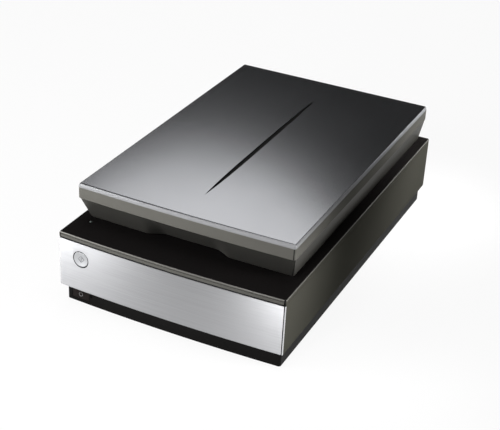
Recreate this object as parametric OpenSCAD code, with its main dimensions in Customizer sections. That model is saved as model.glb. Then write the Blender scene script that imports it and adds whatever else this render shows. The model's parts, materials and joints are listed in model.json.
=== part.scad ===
// Flatbed photo scanner with a transparency unit in its lid.
// Millimetres. +Z is up, the front faces -Y, and the origin lies on the ground under the base's middle.

/* [Base shell] */
// Width of the base across the deck's rim
base_w = 308; // [300:1:330]
// Depth of the base on its centre line
base_d = 503; // [500:1:530]
// Height of the deck's top face above the ground
deck_z = 100.5; // [98:0.5:112]
// How far the middle of the front stands ahead of its corners
front_bow = 4.3; // [2:0.1:6]
// Corner radius of the base in plan
base_corner_r = 3; // [2:0.5:4]
// Height of the lower edge of the front panel and the side covers
cover_z = 24.2; // [23:0.2:28]
// Height of the deck's rim
rim_h = 7.5; // [6:0.5:10]
// Thickness of the deck plate
deck_t = 3; // [2.5:0.5:4]
// Wall of the deck's rim
rim_t = 3; // [3:0.5:4]
// How far the rim stands behind the front panel's face
rim_back = 0.6; // [0.2:0.1:1.5]
// Wall of the side covers and the rear cover
cover_t = 2.2; // [1.8:0.1:2.6]
// How far the side covers stand inside the rim
cover_in = 0.3; // [0.1:0.1:0.8]
// Sheet thickness of the aluminium front panel
panel_t = 2; // [1.5:0.1:2.5]
// Shadow gap between the front panel and the rim
panel_gap = 0.8; // [0.4:0.1:1.2]
// Depth of the front panel's returns along the sides
panel_return = 6; // [4:0.5:9]
// Wall of the moulded carrier behind the front panel
carrier_t = 2; // [1.5:0.1:2.5]

/* [Plinth] */
// How far the plinth stands inside the sides
plinth_in = 5.2; // [4:0.2:7]
// How far the plinth stands behind the front
plinth_back = 8; // [6:0.5:10]
// How far the plinth stands ahead of the rear
plinth_rear = 3.5; // [2:0.5:5]
// Wall of the lower housing
wall = 2.5; // [2:0.1:3]
// Thickness of the lower housing's floor
floor_t = 2.5; // [2:0.1:3]
// Thickness of the shelf that carries the covers
shelf_t = 2; // [1.5:0.5:3]
// How far the feet stand out below the plinth
foot_out = 1.1; // [0.8:0.1:2]
// Diameter of a foot
foot_d = 18; // [14:1:22]
// Depth of a foot's seat in the floor
foot_seat = 1.2; // [1:0.1:1.5]

/* [Platen] */
// Width of the scanning window
window_w = 218; // [214:1:222]
// Length of the scanning window
window_l = 299; // [290:1:305]
// Distance from the base's front to the window
window_y = 89.5; // [88:0.5:92]
// Thickness of the platen glass
glass_t = 4; // [3:0.5:5]
// Depth of the glass below the deck's face
glass_sink = 1.5; // [1:0.1:2]
// Width of the glued border of the glass
glass_lap = 4; // [3:0.5:6]
// Width of the white calibration strip
strip_w = 12; // [8:1:12]

/* [Buttons] */
// Distance of the scan button's middle from the left side
button_in = 31.8; // [28:0.2:36]
// Height of the scan button
button_z = 69.7; // [60:0.5:74]
// Diameter of the scan button
button_d = 20.4; // [18:0.2:21]
// Ring gap around the scan button
button_gap = 0.7; // [0.4:0.1:1]
// Travel of the scan button
button_travel = 1.2; // [0.8:0.1:1.5]
// Width of the power button
power_w = 26; // [22:1:30]
// Height of the power button
power_h = 15; // [12:0.5:16]
// Distance of the power button's middle from the left side
power_in = 25.4; // [24:0.2:30]
// Gap around the power button
power_gap = 0.5; // [0.3:0.1:0.8]
// Travel of the power button
power_travel = 1.2; // [0.8:0.1:1.5]
// Diameter of the status light
light_d = 4.4; // [3:0.2:6]

/* [Scan drive] */
// Diameter of the guide rod
rod_d = 8; // [6:0.5:9]
// Height of the guide rod
rod_z = 42; // [40:1:44]
// Distance of the guide rod from the left side
rod_in = 26; // [25:0.5:27]
// Radial running clearance on shafts and pins
run_fit = 0.05; // [0.02:0.01:0.08]
// Travel of the scan carriage
scan_travel = 304; // [295:1:304]
// Length of the scan carriage
carriage_l = 124; // [118:1:124]
// Radius of a belt pulley
pulley_r = 8; // [7:0.5:9]
// Thickness of the belt
belt_t = 1.2; // [0.8:0.1:1.6]
// Width of the belt
belt_w = 6; // [5:0.5:6.5]
// Module of the gear teeth
gear_m = 0.8; // [0.6:0.05:0.85]
// Teeth of the drive gear
gear_n = 36; // [30:2:38]
// Teeth of the motor pinion
pinion_n = 12; // [12:2:16]
// Diameter of the stepper motors
motor_d = 35; // [32:1:36]

/* [Lid] */
// How far the lid stands inside the base at each side
lid_in = 6.8; // [5:0.1:10]
// Height of the lid's top above the ground
lid_z = 153.5; // [150:0.5:165]
// Distance from the base's front to the lid's front
lid_front = 35; // [33:0.5:38]
// Distance from the lid's rear to the base's rear
lid_rear = 8.5; // [7.5:0.5:10]
// How far the middle of the lid's front stands ahead of its corners
lid_bow = 2.8; // [1.5:0.1:4]
// Corner radius of the lid in plan
lid_corner_r = 3; // [2.5:0.5:5]
// Height of the lid cover's band
band_h = 20; // [16:0.5:24]
// Height of the bevel around the lid's top
bevel_h = 5.5; // [3:0.5:7]
// Width of the bevel around the lid's top
bevel_w = 1.5; // [1:0.1:2.5]
// Wall of the lid's shells
lid_wall = 2.5; // [2:0.1:3]
// Gap between the closed lid and the deck
lid_gap = 0.6; // [0.4:0.1:1]
// Step between the band and the skirt
skirt_step = 3; // [2.6:0.1:4]
// How far the skirt's lower edge stands inside the band at the sides
skirt_in = 7; // [5:0.5:9]
// How far the skirt's lower edge stands behind the band at the front
skirt_back = 18; // [14:0.5:22]
// Depth of the finger scoop
scoop_depth = 10; // [6:0.5:12]
// Width of the finger scoop at its deepest
scoop_w = 68; // [50:1:90]
// Length of the slit in the lid's top
slit_l = 328; // [280:1:340]
// Greatest width of the slit
slit_w = 5.6; // [4:0.2:8]
// Depth of the slit
slit_h = 1.6; // [1.2:0.1:2]
// Travel of the lid's lamp carriage
lamp_travel = 262; // [240:1:266]
// How far the document mat slides to unhook
mat_travel = 10; // [6:1:12]

/* [Hinge] */
// Distance of a hinge's middle from the base's side
hinge_side = 36; // [34:0.5:40]
// Height of the hinge pin above the lid's lower edge
hinge_up = 10; // [9:0.5:12]
// Distance of the hinge pin from the lid's rear
hinge_in = 3.5; // [3:0.1:4]
// Width of a hinge post
post_w = 20; // [16:1:22]
// Depth of a hinge post
post_t = 9; // [8:0.5:10]
// Length of a hinge post below the pin
post_l = 70; // [60:1:74]
// Diameter of a hinge pin
pin_d = 4; // [3:0.5:4.5]
// Clearance around a post in its guide
guide_gap = 0.3; // [0.2:0.05:0.5]
// How far the hinge posts rise out of their guides for thick originals
lift_travel = 25; // [15:1:30]

/* [Hidden] */
$fn = 48;
eps = 0.01;
cut = 1;

// Plan of the base: the front is an arc, its middle on y_front
y_front = -base_d / 2;
y_rear = base_d / 2;
base_r = bow_radius(base_w / 2, front_bow);
y_corner = y_front + front_bow;
rim_z = deck_z - rim_h;
deck_under = deck_z - deck_t;
floor_z = foot_out + floor_t;
side_x = base_w / 2 - cover_in;
lid_w = base_w - 2 * lid_in;
button_x = base_w / 2 - button_in;
power_x = base_w / 2 - power_in;
rod_x = base_w / 2 - rod_in;
hinge_x = base_w / 2 - hinge_side;
panel_top = rim_z - panel_gap;
plinth_w = base_w - 2 * plinth_in;
shelf_top = cover_z + shelf_t;
small_r = 0.5;

// Screw posts between the floor and the deck
post_x = base_w / 2 - 13;
post_rows = [y_front + 29, 0, y_rear - 29];
screw_post_r = 4.5;
screw_r = 1.5;
screw_hole = 0.2;
screw_head_r = 3;
screw_head_h = 2.2;
screw_len = 14;
screw_web = 4;
screw_top = deck_under - 17;
foot_x = plinth_w / 2 - 22;
foot_rows = [y_front + 38, y_rear - 36];

// Platen
win_y0 = y_front + window_y;
win_y1 = win_y0 + window_l;
glass_top = deck_z - glass_sink;
glass_under = glass_top - glass_t;
strip_t = 1;
light_in = 21.1;
light_x = light_in - base_w / 2;
light_back = 43.5;
light_y = y_front + light_back;
light_flange = 1.5;

// Buttons
button_y = y_front + bow_y(button_x, base_r);
collar_r = button_d / 2 + button_gap + 0.8;
collar_t = 1.5;
collar_y = panel_t + 0.8;
guide_r = collar_r + 0.4;
guide_l = 8;
stem_r = 2;
board_t = 1.6;
button_l = guide_l + 2;
switch_h = 2;
switch_half = 3;
board_half_w = 18.5;
board_half_h = 16;
board_post_r = 2.5;
board_y = button_y + panel_t + guide_l + 4;
power_z = foot_out + (cover_z - foot_out) / 2;
power_y = y_front + plinth_back + bow_y(power_x, base_r);
power_stem = 8;

// Scan drive
drive_x = -70;
drive_y = y_rear - 27.5;
idler_y = y_front + 25.5;
gear_gap = gear_m * (gear_n + pinion_n) / 2;
pinion_x = drive_x + gear_gap;
gear_z = floor_z + 2.4;
gear_h = 5.5;
pulley_z = gear_z + gear_h;
flange_t = 0.7;
flange_out = 2.5;
pulley_h = belt_w + 1;
pulley_top = pulley_z + pulley_h + 2 * flange_t;
belt_gap = 0.3;
belt_z = pulley_z + flange_t + 0.5;
axle_r = 2;
strand_x = drive_x - pulley_r - belt_gap - belt_t / 2;
motor_h = 20;
bracket_z = pulley_top + 1;
bracket_t = 2;
motor_shaft_r = 1.5;
tab_y = idler_y + 15;
tab_t = 2;
spring_y0 = tab_y + tab_t;
spring_stop_y = spring_y0 + 20;

// Transport lock in the floor
lock_x = 60;
lock_y = y_front + 60;
lock_travel = 8;

// Scan carriage, parked at the front
car_y0 = y_front + 23.5;
rail_in = 25;
rail_x = base_w / 2 - rail_in;
car_x0 = 2 * rod_d - rod_x;
car_x1 = rail_x - 13;
car_z0 = 27;
car_top = glass_under - 2.5;
lamp_r = 1.75;
lamp_z = car_top - lamp_r - 1;
car_lid_z = lamp_z - lamp_r - 2;
car_wall = 2;
car_mid = car_y0 + carriage_l / 2;
bush_r = rod_d / 2 + 3;
bush_l = 14;
rail_w = 10;
rail_t = 1.5;
rail_z = rod_z - 2;
rail_y0 = y_front + 13.5;
rail_y1 = y_rear - 35.5;
holder_l = 8;
column_t = 7;
arm_h = 14;
inner_w = car_x1 - car_x0 - 2 * car_wall;
car_cx = (car_x0 + car_x1) / 2;
optic_z = car_lid_z - 17;
mirror_w = 14;
mirror_t = 2.5;
lens_r = 11;
lens_y0 = car_y0 + 24;
lens_l = 28;
lamp_gap = 8;
slot_half = 2.5;
slot_end = 7;
lamp_end = 1;
mirror_up = 16;
mirror_end = 12;
mirror_low = 14;
sensor_half = 30;
sensor_y = car_y0 + 6.2;
sensor_drop = 14;
sensor_rise = 12;
line_half = 22;
line_h = 8;
line_t = 3.2;

// Rear boards and sockets
board_z = 34.4;
board_x0 = -30;
board_x1 = hinge_x - 22;
board_y0 = y_rear - 43.5;
board_y1 = y_rear - 6;
standoff_r = 3.5;
socket_y = y_rear - 0.4;
socket_wall = 1.4;
inlet_x = board_x1 - 20;
usb_x = inlet_x - 30;
usb_w = 9;
usb_h = 8.4;
inlet_r = 4;
lidsock_x = usb_x - 36;
lidsock_w = 24;
lidsock_h = 8;
socket_l = 15;
cavity_l = 10;
mouth_l = 5;
tongue_l = cavity_l - mouth_l;
socket_clear = 0.4;
socket_seat = board_z + board_t;
standoff_in = 5;
chip_x = 14;
chip_y = 6;
chip_w = 18;
chip_h = 2;
driver_x = 44;
driver_y = 3;
driver_w = 12;
driver_l = 10;
header_x = 76;
header_w = 24;
header_l = 6;
header_h = 5;

// Lid
lid_y0 = y_front + lid_front;
lid_y1 = y_rear - lid_rear;
lid_r = bow_radius(lid_w / 2, lid_bow);
lid_bottom = deck_z + lid_gap;
band_z = lid_z - band_h;
lip_h = 5;
lip_gap = 0.1;
plate_z = lid_bottom + 3;
plate_t = 2.5;
plate_top = plate_z + plate_t;
skirt_y0 = lid_y0 + skirt_back;
skirt_y1 = lid_y1 - 2;
groove_in = 1.2;
groove_w = 0.8;
groove_h = 0.6;
slit_y = y_front + 256;
slit_fit = 0.1;
slit_r = bow_radius(slit_l / 2, slit_w / 2);
slit_steps = 24;
insert_t = 0.8;
scoop_soft = 23;

// Lid's transparency unit
tpu_w = 210;
tpu_l = 262;
tpu_y = win_y0 + window_l / 2;
tpu_lap = 5;
tpu_t = 3;
lid_drive_x = 38 - hinge_x;
lid_drive_y = lid_y1 - 31;
lid_idler_y = lid_y0 + 42;
lid_rod_in = 25.2;
lid_rod_x = lid_rod_in - lid_w / 2;
lid_rod_r = 3;
lid_rod_z = plate_top + 14;
lamp_y0 = tpu_y - tpu_l / 2 - 20;
lamp_l = 34;
lamp_z0 = plate_top + tpu_t + 1;
lamp_h = 16;
lid_motor_h = 16;
lid_pulley_r = 6;
lid_pulley_z = lamp_z0 + lamp_h + 2;
lid_strand_x = lid_drive_x + lid_pulley_r + belt_gap + belt_t / 2;
tube_r = 2;
mat_w = 236;
mat_l = 326;
mat_t = 2.8;
mat_gap = 0.2;
bumper_r = 6;
bumper_gap = 0.2;
bumper_x = lid_w / 2 - 24;
bumper_rows = [skirt_y0 + 14, lid_y1 - 60];

// Hinge
hinge_y = lid_y1 - hinge_in;
hinge_z = lid_bottom + hinge_up;
ear_t = 3;
ear_gap = 0.4;
ear_r = 5.5;
ear_plate_t = 3;
bracket_l = 24;
bracket_y0 = hinge_y - post_t / 2 - 4 - bracket_l;
lug_x = post_w / 2 - screw_head_r - 1;
lug_y = bracket_y0 + 7;
notch_gap = 0.7;
guide_wall = 2;
guide_z = hinge_z - post_l - 0.3;

black = [0.06, 0.06, 0.065];
dark = [0.22, 0.22, 0.21];
silver = [0.8, 0.8, 0.82];
steel = [0.6, 0.6, 0.62];
white = [0.92, 0.92, 0.9];
green = [0.1, 0.35, 0.2];
rubber = [0.12, 0.12, 0.12];
nylon = [0.85, 0.83, 0.76];

// Radius of the arc that bows by `bow` over a half width
function bow_radius(half, bow) = (half * half + bow * bow) / (2 * bow);
// How far the arc has fallen back at x
function bow_y(x, r) = r - sqrt(r * r - x * x);
// Half length of the slit's outline moved inwards by t, and its half width at y
function slit_end(t) = sqrt(pow(slit_r - t, 2) - pow(slit_r - slit_w / 2, 2));
function slit_x(y, t) = sqrt(pow(slit_r - t, 2) - y * y) - slit_r + slit_w / 2;
// Involute of a circle at roll angle t in radians, as an angle in degrees
function involute(t) = t * 180 / PI - atan(t);
// Roll angle at which the involute of base radius rb reaches radius r
function roll_at(r, rb) = sqrt(max(r * r / (rb * rb) - 1, 0));
function polar(r, a) = [r * cos(a), r * sin(a)];

// Outline with a bowed front, straight sides and four rounded corners
module plan(w, y0, y1, r_bow, r) {
    half = w / 2;
    corner_y = y0 + r_bow - sqrt(pow(r_bow - r, 2) - pow(half - r, 2));
    intersection() {
        translate([0, y0 + r_bow]) circle(r = r_bow, $fn = 720);
        union() {
            translate([r - half, y0]) square([w - 2 * r, y1 - y0]);
            translate([-half, corner_y]) square([w, y1 - r - corner_y]);
            for (sx = [-1, 1], y = [corner_y, y1 - r])
                translate([sx * (half - r), y]) circle(r = r, $fn = 32);
        }
    }
}

// The same outline moved inwards by t
module plan_in(w, y0, y1, r_bow, r, t) {
    plan(w - 2 * t, y0 + t, y1 - t, r_bow - t, max(r - t, small_r));
}

module plan_ring(w, y0, y1, r_bow, r, t) {
    difference() {
        plan(w, y0, y1, r_bow, r);
        plan_in(w, y0, y1, r_bow, r, t);
    }
}

module raise(z, h) {
    translate([0, 0, z]) linear_extrude(h) children();
}

// Box from its low corner to its high corner
module box(a, b) {
    translate(a) cube(b - a);
}

// Cylinder along X or Y
module rod_along_x(x0, x1, y, z, r) {
    translate([x0, y, z]) rotate([0, 90, 0]) cylinder(r = r, h = x1 - x0);
}

module rod_along_y(y0, y1, x, z, r) {
    translate([x, y0, z]) rotate([-90, 0, 0]) cylinder(r = r, h = y1 - y0);
}

module upright(x, y, z0, z1, r) {
    translate([x, y, z0]) cylinder(r = r, h = z1 - z0);
}

module rounded_slab(w, l, r) {
    translate([r - w / 2, -l / 2]) square([w - 2 * r, l]);
    translate([-w / 2, r - l / 2]) square([w, l - 2 * r]);
    for (sx = [-1, 1], sy = [-1, 1]) translate([sx * (w / 2 - r), sy * (l / 2 - r)]) circle(r = r);
}

// Flat loop of a belt around two equal pulleys
module loop(r, l) {
    circle(r = r);
    translate([0, l]) circle(r = r);
    translate([-r, 0]) square([2 * r, l]);
}

module belt_loop(r, l) {
    difference() {
        loop(r + belt_t, l);
        loop(r, l);
    }
}

// Gear outline with involute flanks and a little backlash
module gear_outline(n) {
    pitch_r = n * gear_m / 2;
    flank_r = pitch_r * cos(20);
    tip_r = pitch_r + 0.9 * gear_m;
    root_r = pitch_r - 1.15 * gear_m;
    slack = 0.06 * gear_m / pitch_r * 180 / PI;
    half = 90 / n - slack + involute(roll_at(pitch_r, flank_r));
    t_tip = roll_at(tip_r, flank_r);
    steps = 5;
    flank = [for (i = [0 : steps]) let (t = t_tip * i / steps) [flank_r * sqrt(1 + t * t), half - involute(t)]];
    polygon([for (k = [0 : n - 1]) let (a = 360 * k / n) each concat(
        [polar(root_r, a - half)],
        [for (p = flank) polar(p[0], a - p[1])],
        [for (i = [steps : -1 : 0]) polar(flank[i][0], a + flank[i][1])],
        [polar(root_r, a + half)])]);
}

module base_post(z0, z1, r) {
    for (sx = [-1, 1], y = post_rows) upright(sx * post_x, y, z0, z1, r);
}

module plinth_plan() {
    plan(plinth_w, y_front + plinth_back, y_rear - plinth_rear, base_r, base_corner_r);
}

module plinth_inside() {
    plan_in(plinth_w, y_front + plinth_back, y_rear - plinth_rear, base_r, base_corner_r, wall);
}

// Holder of the guide rod: a column beside the power key's switch, with an arm out to the rod
module rod_holder(y) {
    x0 = -rod_x - bush_r;
    x1 = car_x0 - 1;
    box([x1 - column_t, y, floor_z - eps], [x1, y + holder_l, rod_z]);
    box([x0, y, rod_z - arm_h], [x1, y + holder_l, rod_z]);
    rod_along_y(y, y + holder_l, -rod_x, rod_z, bush_r);
}

module lower_housing() color(black) difference() {
    union() {
        raise(foot_out, floor_t) plinth_plan();
        raise(foot_out, shelf_top - foot_out) difference() {
            plinth_plan();
            plinth_inside();
        }
        raise(cover_z, shelf_t) difference() {
            plan(2 * (side_x - cover_t), y_front + panel_t, y_rear - cover_t, base_r - panel_t, base_corner_r);
            plinth_inside();
        }
        base_post(foot_out, screw_top, screw_post_r);
        for (y = [rail_y0, rail_y1]) rod_holder(y);
        box([rail_x - 1.5, rail_y0, floor_z - eps], [rail_x + 1.5, rail_y1 + holder_l, rail_z - rail_t]);
        for (x = [board_x0 + standoff_in, board_x1 - standoff_in], y = [board_y0 + standoff_in, board_y1 - standoff_in])
            upright(x, y, floor_z - eps, board_z, standoff_r);
        box([drive_x - 6, spring_stop_y, floor_z - eps], [drive_x + 6, spring_stop_y + 3, floor_z + 9]);
    }
    base_post(foot_out - cut, screw_top - screw_web, screw_head_r + screw_hole);
    base_post(foot_out, screw_top + cut, screw_r + screw_hole);
    rod_along_y(rail_y0 - cut, rail_y1 + holder_l + cut, -rod_x, rod_z, rod_d / 2);
    for (sx = [-1, 1], y = foot_rows) upright(sx * foot_x, y, foot_out - cut, foot_out + foot_seat, foot_d / 2);
    power_hole(0);
    power_notch();
    lock_slot();
}

// Hole for the power button through the plinth's front wall
module power_hole(gap) {
    x0 = -power_x - power_w / 2;
    box([x0 + gap, y_front, power_z - power_h / 2 + gap],
        [x0 + power_w - gap, y_front + plinth_back + front_bow + wall + cut, power_z + power_h / 2 - gap]);
}

// Small recess beside the power button
module power_notch() {
    x0 = -power_x + power_w / 2 + 1.2;
    box([x0, y_front, power_z], [x0 + 3.6, power_y + 0.4, power_z + power_h / 2]);
}

module deck_frame() color(black) difference() {
    union() {
        raise(deck_under, deck_t) plan(base_w, y_front + rim_back, y_rear, base_r, base_corner_r);
        raise(rim_z, rim_h) plan_ring(base_w, y_front + rim_back, y_rear, base_r, base_corner_r, rim_t);
        base_post(screw_top, deck_under + eps, screw_post_r);
    }
    box([-window_w / 2, win_y0, rim_z], [window_w / 2, win_y1, deck_z + cut]);
    box([-window_w / 2 - glass_lap, win_y0 - glass_lap, rim_z],
        [window_w / 2 + glass_lap, win_y1 + glass_lap, glass_top]);
    base_post(screw_top - cut, screw_top + screw_len - screw_web + 1, screw_r + 0.02);
    for (sx = [-1, 1]) post_hole(sx, rim_z, deck_z + cut);
    upright(light_x, light_y, rim_z, deck_z + cut, light_d / 2 + 0.1);
}

module side_cover(sx) color(dark) {
    x = sx > 0 ? side_x - cover_t : -side_x;
    box([x, y_corner + panel_return + 0.3, cover_z], [x + cover_t, y_rear - cover_t, rim_z]);
}

module side_cover_left() side_cover(-1);

module side_cover_right() side_cover(1);

module rear_cover() color(dark) difference() {
    box([-side_x, y_rear - cover_t, cover_z], [side_x, y_rear, rim_z]);
    socket_window(usb_x, usb_w, usb_h);
    socket_window(inlet_x, 2 * inlet_r, 2 * inlet_r);
    socket_window(lidsock_x, lidsock_w, lidsock_h);
}

// Opening in the rear cover around a socket
module socket_window(x, w, h) {
    grow = socket_wall + socket_clear;
    box([x - w / 2 - grow, y_rear - cover_t - cut, socket_seat - socket_clear],
        [x + w / 2 + grow, y_rear + cut, socket_seat + h + 2 * socket_wall + socket_clear]);
}

module front_panel() color(silver) difference() {
    intersection() {
        raise(cover_z, panel_top - cover_z) plan_ring(base_w, y_front, y_rear, base_r, base_corner_r, panel_t);
        box([-base_w, y_front - cut, 0], [base_w, y_corner + panel_return, deck_z]);
    }
    rod_along_y(y_front - cut, y_corner + 2 * panel_t, -button_x, button_z, button_d / 2 + button_gap);
}

module panel_carrier() color(black) difference() {
    union() {
        intersection() {
            raise(shelf_top, rim_z - shelf_top) plan_ring(base_w - 2 * panel_t, y_front + panel_t,
                y_rear, base_r - panel_t, base_corner_r, carrier_t);
            box([-base_w, y_front, 0], [base_w, y_corner + panel_return, deck_z]);
        }
        rod_along_y(button_y + panel_t + 1, button_y + panel_t + guide_l, -button_x, button_z, guide_r + 2);
        for (sx = [-1, 1], sz = [-1, 1])
            rod_along_y(button_y + panel_t + 0.8, board_y, sx * (board_half_w - board_post_r - 0.5) - button_x,
                button_z + sz * (board_half_h - board_post_r - 0.5), board_post_r);
    }
    rod_along_y(y_front, board_y - cut, -button_x, button_z, guide_r);
}

module rubber_feet() color(rubber)
    for (sx = [-1, 1], y = foot_rows) upright(sx * foot_x, y, 0, foot_out + foot_seat, foot_d / 2 - 0.1);

// Screw whose head faces down and whose shank points up
module screw(x, y, seat_z, len) {
    upright(x, y, seat_z - screw_head_h, seat_z, screw_head_r);
    upright(x, y, seat_z - eps, seat_z + len, screw_r);
}

module base_screws() color(steel)
    for (sx = [-1, 1], y = post_rows) screw(sx * post_x, y, screw_top - screw_web, screw_len);

module platen_glass() color([0.6, 0.75, 0.75, 0.4])
    box([-window_w / 2 - glass_lap + 0.1, win_y0 - glass_lap + 0.1, glass_under],
        [window_w / 2 + glass_lap - 0.1, win_y1 + glass_lap - 0.1, glass_top]);

module calibration_strip() color(white)
    box([-window_w / 2, win_y0 - glass_lap + 0.2, glass_under - strip_t],
        [window_w / 2, win_y0 - glass_lap + strip_w, glass_under]);

module status_light() color([0.7, 0.8, 0.75]) {
    upright(light_x, light_y, deck_under - light_flange, deck_z + 0.4, light_d / 2);
    upright(light_x, light_y, deck_under - light_flange, deck_under, light_d / 2 + 1.5);
}

module button_board() color(green) {
    box([-button_x - board_half_w, board_y, button_z - board_half_h],
        [-button_x + board_half_w, board_y + board_t, button_z + board_half_h]);
    box([-button_x - switch_half, board_y - switch_h, button_z - switch_half],
        [-button_x + switch_half, board_y + eps, button_z + switch_half]);
}

module power_switch() color(nylon) {
    y = power_y + wall + power_stem + power_travel + 0.3;
    box([-power_x - 6, y, floor_z], [-power_x + 6, y + 8, power_z + 4]);
}

module start_button() color(silver) {
    difference() {
        union() {
            rod_along_y(button_y - 0.2, button_y + button_l, -button_x, button_z, button_d / 2);
            rod_along_y(button_y + collar_y, button_y + collar_y + collar_t,
                -button_x, button_z, collar_r);
            rod_along_y(button_y + button_l - eps, board_y - switch_h - button_travel - 0.2,
                -button_x, button_z, stem_r);
        }
        translate([-button_x, button_y - 0.2 - 69, button_z]) sphere(r = 70, $fn = 200);
    }
}

module power_button() color(black) {
    intersection() {
        raise(foot_out, cover_z - foot_out) difference() {
            plinth_plan();
            plinth_inside();
        }
        power_hole(power_gap);
    }
    box([-power_x - 3, power_y + wall - 0.6, power_z - 3],
        [-power_x + 3, power_y + wall + power_stem, power_z + 3]);
}

module lock_slot() {
    box([lock_x - 4.5, lock_y - 4.5, foot_out - cut], [lock_x + lock_travel + 4.5, lock_y + 4.5, floor_z + cut]);
}

module transport_lock() color(nylon) {
    box([lock_x - 4, lock_y - 4, foot_out + 0.3], [lock_x + 4, lock_y + 4, floor_z + 1]);
    box([lock_x - 14, lock_y - 9, floor_z + 0.2], [lock_x + 14, lock_y + 9, floor_z + 2.4]);
    upright(lock_x, lock_y, floor_z + 2.2, car_z0 - 1.5, 3);
}

module guide_rod() color(steel)
    rod_along_y(rail_y0 + 0.5, rail_y1 + holder_l - 0.5, -rod_x, rod_z, rod_d / 2);

module slide_rail() color(steel)
    box([rail_x - rail_w / 2, rail_y0, rail_z - rail_t], [rail_x + rail_w / 2, rail_y1 + holder_l, rail_z]);

module scan_motor() color(steel) {
    z = bracket_z + bracket_t;
    upright(pinion_x, drive_y, z, z + motor_h, motor_d / 2);
    upright(pinion_x, drive_y, bracket_z, z + eps, 4);
    upright(pinion_x, drive_y, gear_z - 1, z + eps, motor_shaft_r);
}

module motor_bracket() color(steel) {
    x0 = pinion_x - motor_d / 2 + 4;
    x1 = pinion_x + motor_d / 2 + 4;
    difference() {
        box([x0, drive_y - 12, bracket_z], [x1, drive_y + 12, bracket_z + bracket_t]);
        upright(pinion_x, drive_y, 0, deck_z, 4 + 0.1);
    }
    box([x1 - bracket_t, drive_y - 12, floor_z], [x1, drive_y + 12, bracket_z + eps]);
}

module axle_pins() color(steel) {
    upright(drive_x, drive_y, floor_z, pulley_top + 0.5, axle_r);
    upright(drive_x, drive_y, floor_z, gear_z - 0.3, axle_r + 3);
}

module idler_bracket() color(steel) {
    box([drive_x - 8, idler_y - 8, floor_z], [drive_x + 8, tab_y + tab_t, floor_z + 1.5]);
    box([drive_x - 5, tab_y, floor_z], [drive_x + 5, tab_y + tab_t, floor_z + 8.4]);
    upright(drive_x, idler_y, floor_z, pulley_top + 0.5, axle_r);
    upright(drive_x, idler_y, floor_z, gear_z - 0.3, axle_r + 3);
}

// Compression spring along +Y as a swept hexagonal wire
module coil(length, r, wire_r, turns) {
    per_turn = 12;
    sides = 6;
    n = turns * per_turn;
    rings = [for (i = [0 : n]) let (a = 360 * i / per_turn, y = wire_r + (length - 2 * wire_r) * i / n)
        for (k = [0 : sides - 1]) let (b = 360 * k / sides, q = r + wire_r * cos(b))
            [q * cos(a), y + wire_r * sin(b), q * sin(a)]];
    walls = [for (i = [0 : n - 1], k = [0 : sides - 1]) let (j = (k + 1) % sides)
        [i * sides + k, i * sides + j, (i + 1) * sides + j, (i + 1) * sides + k]];
    polyhedron(points = rings, faces = concat(walls,
        [[for (k = [sides - 1 : -1 : 0]) k]], [[for (k = [0 : sides - 1]) n * sides + k]]), convexity = 8);
}

module tension_spring() color(steel)
    translate([drive_x, spring_y0, floor_z + 4.6]) coil(spring_stop_y - spring_y0, 2.8, 0.45, 7);

module drive_belt() color(rubber)
    translate([drive_x, idler_y, 0]) raise(belt_z, belt_w) belt_loop(pulley_r + belt_gap, drive_y - idler_y);

// Pulley with two flanges; z is its lower end
module pulley(r, z) {
    upright(0, 0, z, z + pulley_h + 2 * flange_t, r);
    for (fz = [z, z + pulley_h + flange_t]) upright(0, 0, fz, fz + flange_t, r + flange_out);
}

module drive_gear() color(nylon) translate([drive_x, drive_y, 0]) difference() {
    union() {
        raise(gear_z, gear_h) gear_outline(gear_n);
        pulley(pulley_r, pulley_z);
    }
    upright(0, 0, 0, deck_z, axle_r + run_fit);
}

module motor_pinion() color(steel) translate([pinion_x, drive_y, 0]) difference() {
    raise(gear_z, gear_h) rotate(180 + 180 / pinion_n) gear_outline(pinion_n);
    upright(0, 0, 0, deck_z, motor_shaft_r + run_fit);
}

module idler_pulley() color(nylon) translate([drive_x, idler_y, 0]) difference() {
    union() {
        pulley(pulley_r, pulley_z);
        upright(0, 0, gear_z, pulley_z + eps, axle_r + 3);
    }
    upright(0, 0, 0, deck_z, axle_r + run_fit);
}

// Component on the main board, x and y from its corner
module board_part(x, y, w, l, h) {
    box([board_x0 + x, board_y0 + y, socket_seat - eps], [board_x0 + x + w, board_y0 + y + l, socket_seat + h]);
}

module main_board() color(green) {
    box([board_x0, board_y0, board_z], [board_x1, board_y1, socket_seat]);
    board_part(chip_x, chip_y, chip_w, chip_w, chip_h);
    board_part(driver_x, driver_y, driver_w, driver_l, chip_h);
    board_part(header_x, driver_y, header_w, header_l, header_h);
}

// Socket body on the board, its cavity open to the rear
module socket_body(x, w, h) {
    difference() {
        box([x - w / 2 - socket_wall, socket_y - socket_l, socket_seat],
            [x + w / 2 + socket_wall, socket_y, socket_seat + h + 2 * socket_wall]);
        children();
    }
}

module usb_socket() color(steel) {
    z = socket_seat + socket_wall;
    socket_body(usb_x, usb_w, usb_h)
        box([usb_x - usb_w / 2, socket_y - cavity_l, z], [usb_x + usb_w / 2, socket_y + cut, z + usb_h]);
    box([usb_x - 2.8, socket_y - cavity_l - eps, z + usb_h / 2 - 1.6],
        [usb_x + 2.8, socket_y - cavity_l + tongue_l, z + usb_h / 2 + 1.6]);
}

module power_inlet() color(black) {
    z = socket_seat + socket_wall + inlet_r;
    socket_body(inlet_x, 2 * inlet_r, 2 * inlet_r)
        rod_along_y(socket_y - cavity_l, socket_y + cut, inlet_x, z, inlet_r);
    rod_along_y(socket_y - cavity_l - eps, socket_y - cavity_l + tongue_l, inlet_x, z, 1.1);
}

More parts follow.
